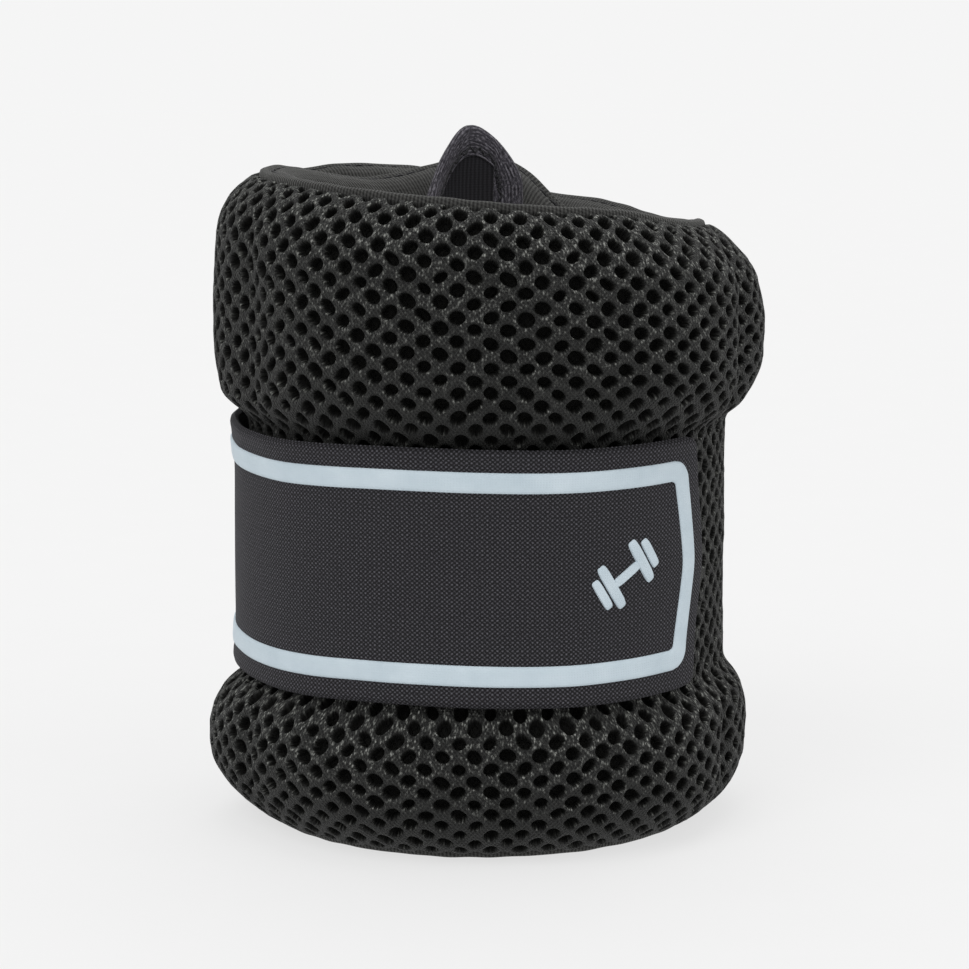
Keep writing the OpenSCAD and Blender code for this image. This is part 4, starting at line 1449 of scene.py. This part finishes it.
def tongue_hem():
    """a melange tape folded over the tongue's edge, with a zigzag stitch on both faces"""
    corner, width, half_thick = 6.0, 6.2, 0.95
    cuts = TONGUE_CUTS_X[:4]
    starts = np.arange(cuts[0], TONGUE_LENGTH - corner, 0.7)
    stations = np.unique(np.concatenate([starts, cuts]))
    path, inward = hem_path(stations, corner)
    leg = width - np.concatenate([[0, 0.12, 0.35, 0.8], np.linspace(1.4, width - half_thick, 10)])
    turn = np.linspace(0, math.pi, 13)[1:-1]
    edge_fall = np.concatenate([[0.3, 0.12, 0.03, 0], np.zeros(10)])
    # across the tape: distance in from the edge, and offset from the tongue's radius
    reach = np.concatenate([leg, half_thick - half_thick * np.sin(turn), leg[::-1]])
    offset = np.concatenate([
        -1 + half_thick - edge_fall,
        -1.0 + half_thick * np.cos(turn),
        (-1 - half_thick + edge_fall)[::-1],
    ])
    distance = along(np.linalg.norm(np.diff(path, axis=0), axis=1))
    relief = 0.2 * bell(reach, 2.6, 1.6) - 0.2 * bell(reach, 4.9, 0.5)
    relief = relief + 0.1 * waves(distance[:, None], reach, 91, 6)

    def inside(reach, offset):
        place_in = path[:, :, None] + inward[:, :, None] * reach
        return tongue(place_in[:, 0], place_in[:, 1], offset)

    slab = Slab(
        inside(reach, offset + np.sign(offset + 1) * relief),
        inside(np.maximum(reach, 0.5), np.clip(offset, -1.5, -0.5)),
        distance[:, None],
        along(np.hypot(np.diff(reach), np.diff(offset)))[None],
    )

    def zigzag(first, last):
        """thread on both faces between two rows"""
        start, end = distance[first] + 0.4, distance[last] - 0.4
        count = max(int((end - start) / 1.25), 2) * 2 + 1
        at = np.linspace(start, end, count)
        swing = 4.75 + 0.62 * np.array([1, 0, -1, 0])[np.arange(count) % 4]
        length, z = (
            np.interp(at, distance, path[:, i]) + np.interp(at, distance, inward[:, i]) * swing
            for i in (0, 1)
        )
        parts = []
        for face in (1, -1):
            height = -1 + face * (half_thick + 0.02)
            points = tongue(length, z, height)
            across = unit(tongue(length, z, height + face) - points)
            parts.append(tubes(points[None], across[None], radius=0.2, taper=1))
        return parts

    last = len(path) - 1
    rows = [int(np.searchsorted(stations, cut)) for cut in cuts]
    spans = [[(start, end), (last - end, last - start)] for start, end in zip(rows, rows[1:])]
    spans.append([(rows[3], last - rows[3])])
    for i, motion in enumerate(TONGUE_MOTIONS):
        add_slab(f"tongue_binding_{i + 1}", slab, spans[i], "hem", motion,
                 [f"tongue_hem_{i + 1}"])
        thread = join([part for span in spans[i] for part in zigzag(*span)])
        add_thread(f"tongue_zigzag_{i + 1}", thread, motion)


tongue_panel()
tongue_hem()


# ---------------------------------------------------------------- CAD nodes inside the cover
for node_name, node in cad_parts.items():
    for prefix, kind in (("shot_pouch", "pouch"), ("steel_shot", "shot"), ("foam_pad", "foam")):
        if node_name.startswith(prefix):
            node.data.materials.clear()
            node.data.materials.append(MATERIALS[kind])


# ---------------------------------------------------------------- floor, light and camera
BACKDROP = (0.914, 0.914, 0.914, 1)


def floor_material():
    """pale paper that mostly glows in the backdrop's grey"""
    mat = Material("floor_paper", rough=0.75, specular=0.2)
    space = mat.coords("Object")
    paper = mat.noise(space, size=0.02, detail=4.0)
    mat.color(mat.ramp(paper, (0.0, grey(229)), (1.0, grey(234))))
    mat.bump(mat.noise(space, size=0.0015, detail=3.0), strength=0.05, distance=0.0002)
    glow = mat.node("Emission", Color=BACKDROP)
    both = mat.node("MixShader", Fac=0.75)
    mat.put(both.inputs[1], mat.shader.outputs["BSDF"])
    mat.put(both.inputs[2], glow.outputs["Emission"])
    mat.put(mat.tree.nodes["Material Output"].inputs["Surface"], both.outputs["Shader"])
    return mat.material


def floor():
    count, half, z = 60, 3000.0, -0.1
    side = np.linspace(-1, 1, count) * half
    points = np.stack(np.broadcast_arrays(*grid(side, side), z), -1).reshape(-1, 3)
    build("floor", points, [grid_quads(0, count - 1, count)], floor_material())


def studio_world():
    """white surroundings that the camera sees as the backdrop's grey"""
    world = bpy.data.worlds.new("studio")
    bpy.context.scene.world = world
    world.use_nodes = True
    nodes, links = world.node_tree.nodes, world.node_tree.links
    light = nodes["Background"]
    light.inputs["Color"].default_value = (1.0, 1.0, 1.0, 1)
    light.inputs["Strength"].default_value = 0.56
    seen = nodes.new("ShaderNodeBackground")
    seen.inputs["Color"].default_value = BACKDROP
    mix = nodes.new("ShaderNodeMixShader")
    path = nodes.new("ShaderNodeLightPath")
    links.new(path.outputs["Is Camera Ray"], mix.inputs["Fac"])
    links.new(light.outputs["Background"], mix.inputs[1])
    links.new(seen.outputs["Background"], mix.inputs[2])
    links.new(mix.outputs["Shader"], nodes["World Output"].inputs["Surface"])


def add_aimed(name, data, toward):
    """an object whose -Z axis looks along toward"""
    item = bpy.data.objects.new(name, data)
    bpy.context.scene.collection.objects.link(item)
    item.rotation_mode = "QUATERNION"
    item.rotation_quaternion = Vector(toward).to_track_quat("-Z", "Y")
    return item


def sun(name, toward, strength, spread):
    data = bpy.data.lights.new(name, "SUN")
    data.energy = strength
    data.angle = math.radians(spread)
    add_aimed(name, data, toward)


def camera():
    """looks at the roll from the front, slightly from above"""
    data = bpy.data.cameras.new("camera")
    data.lens = 120
    data.sensor_width = 36
    data.clip_start = 0.01
    data.clip_end = 20
    elevation, distance = math.radians(9.3), 0.66
    target = Vector((0.0005, 0.0, 0.0665))
    location = target + Vector((0, -math.cos(elevation), math.sin(elevation))) * distance
    item = add_aimed("camera", data, target - location)
    item.location = location
    bpy.context.scene.camera = item


floor()
studio_world()
sun("key", toward=(0.55, 0.85, -1.15), strength=0.95, spread=35)
sun("fill", toward=(-1.0, 0.6, -0.8), strength=0.45, spread=60)
sun("top", toward=(-0.1, -0.55, -1.2), strength=1.0, spread=50)
bpy.context.scene.view_settings.view_transform = "Standard"
bpy.context.scene.view_settings.look = "None"
camera()
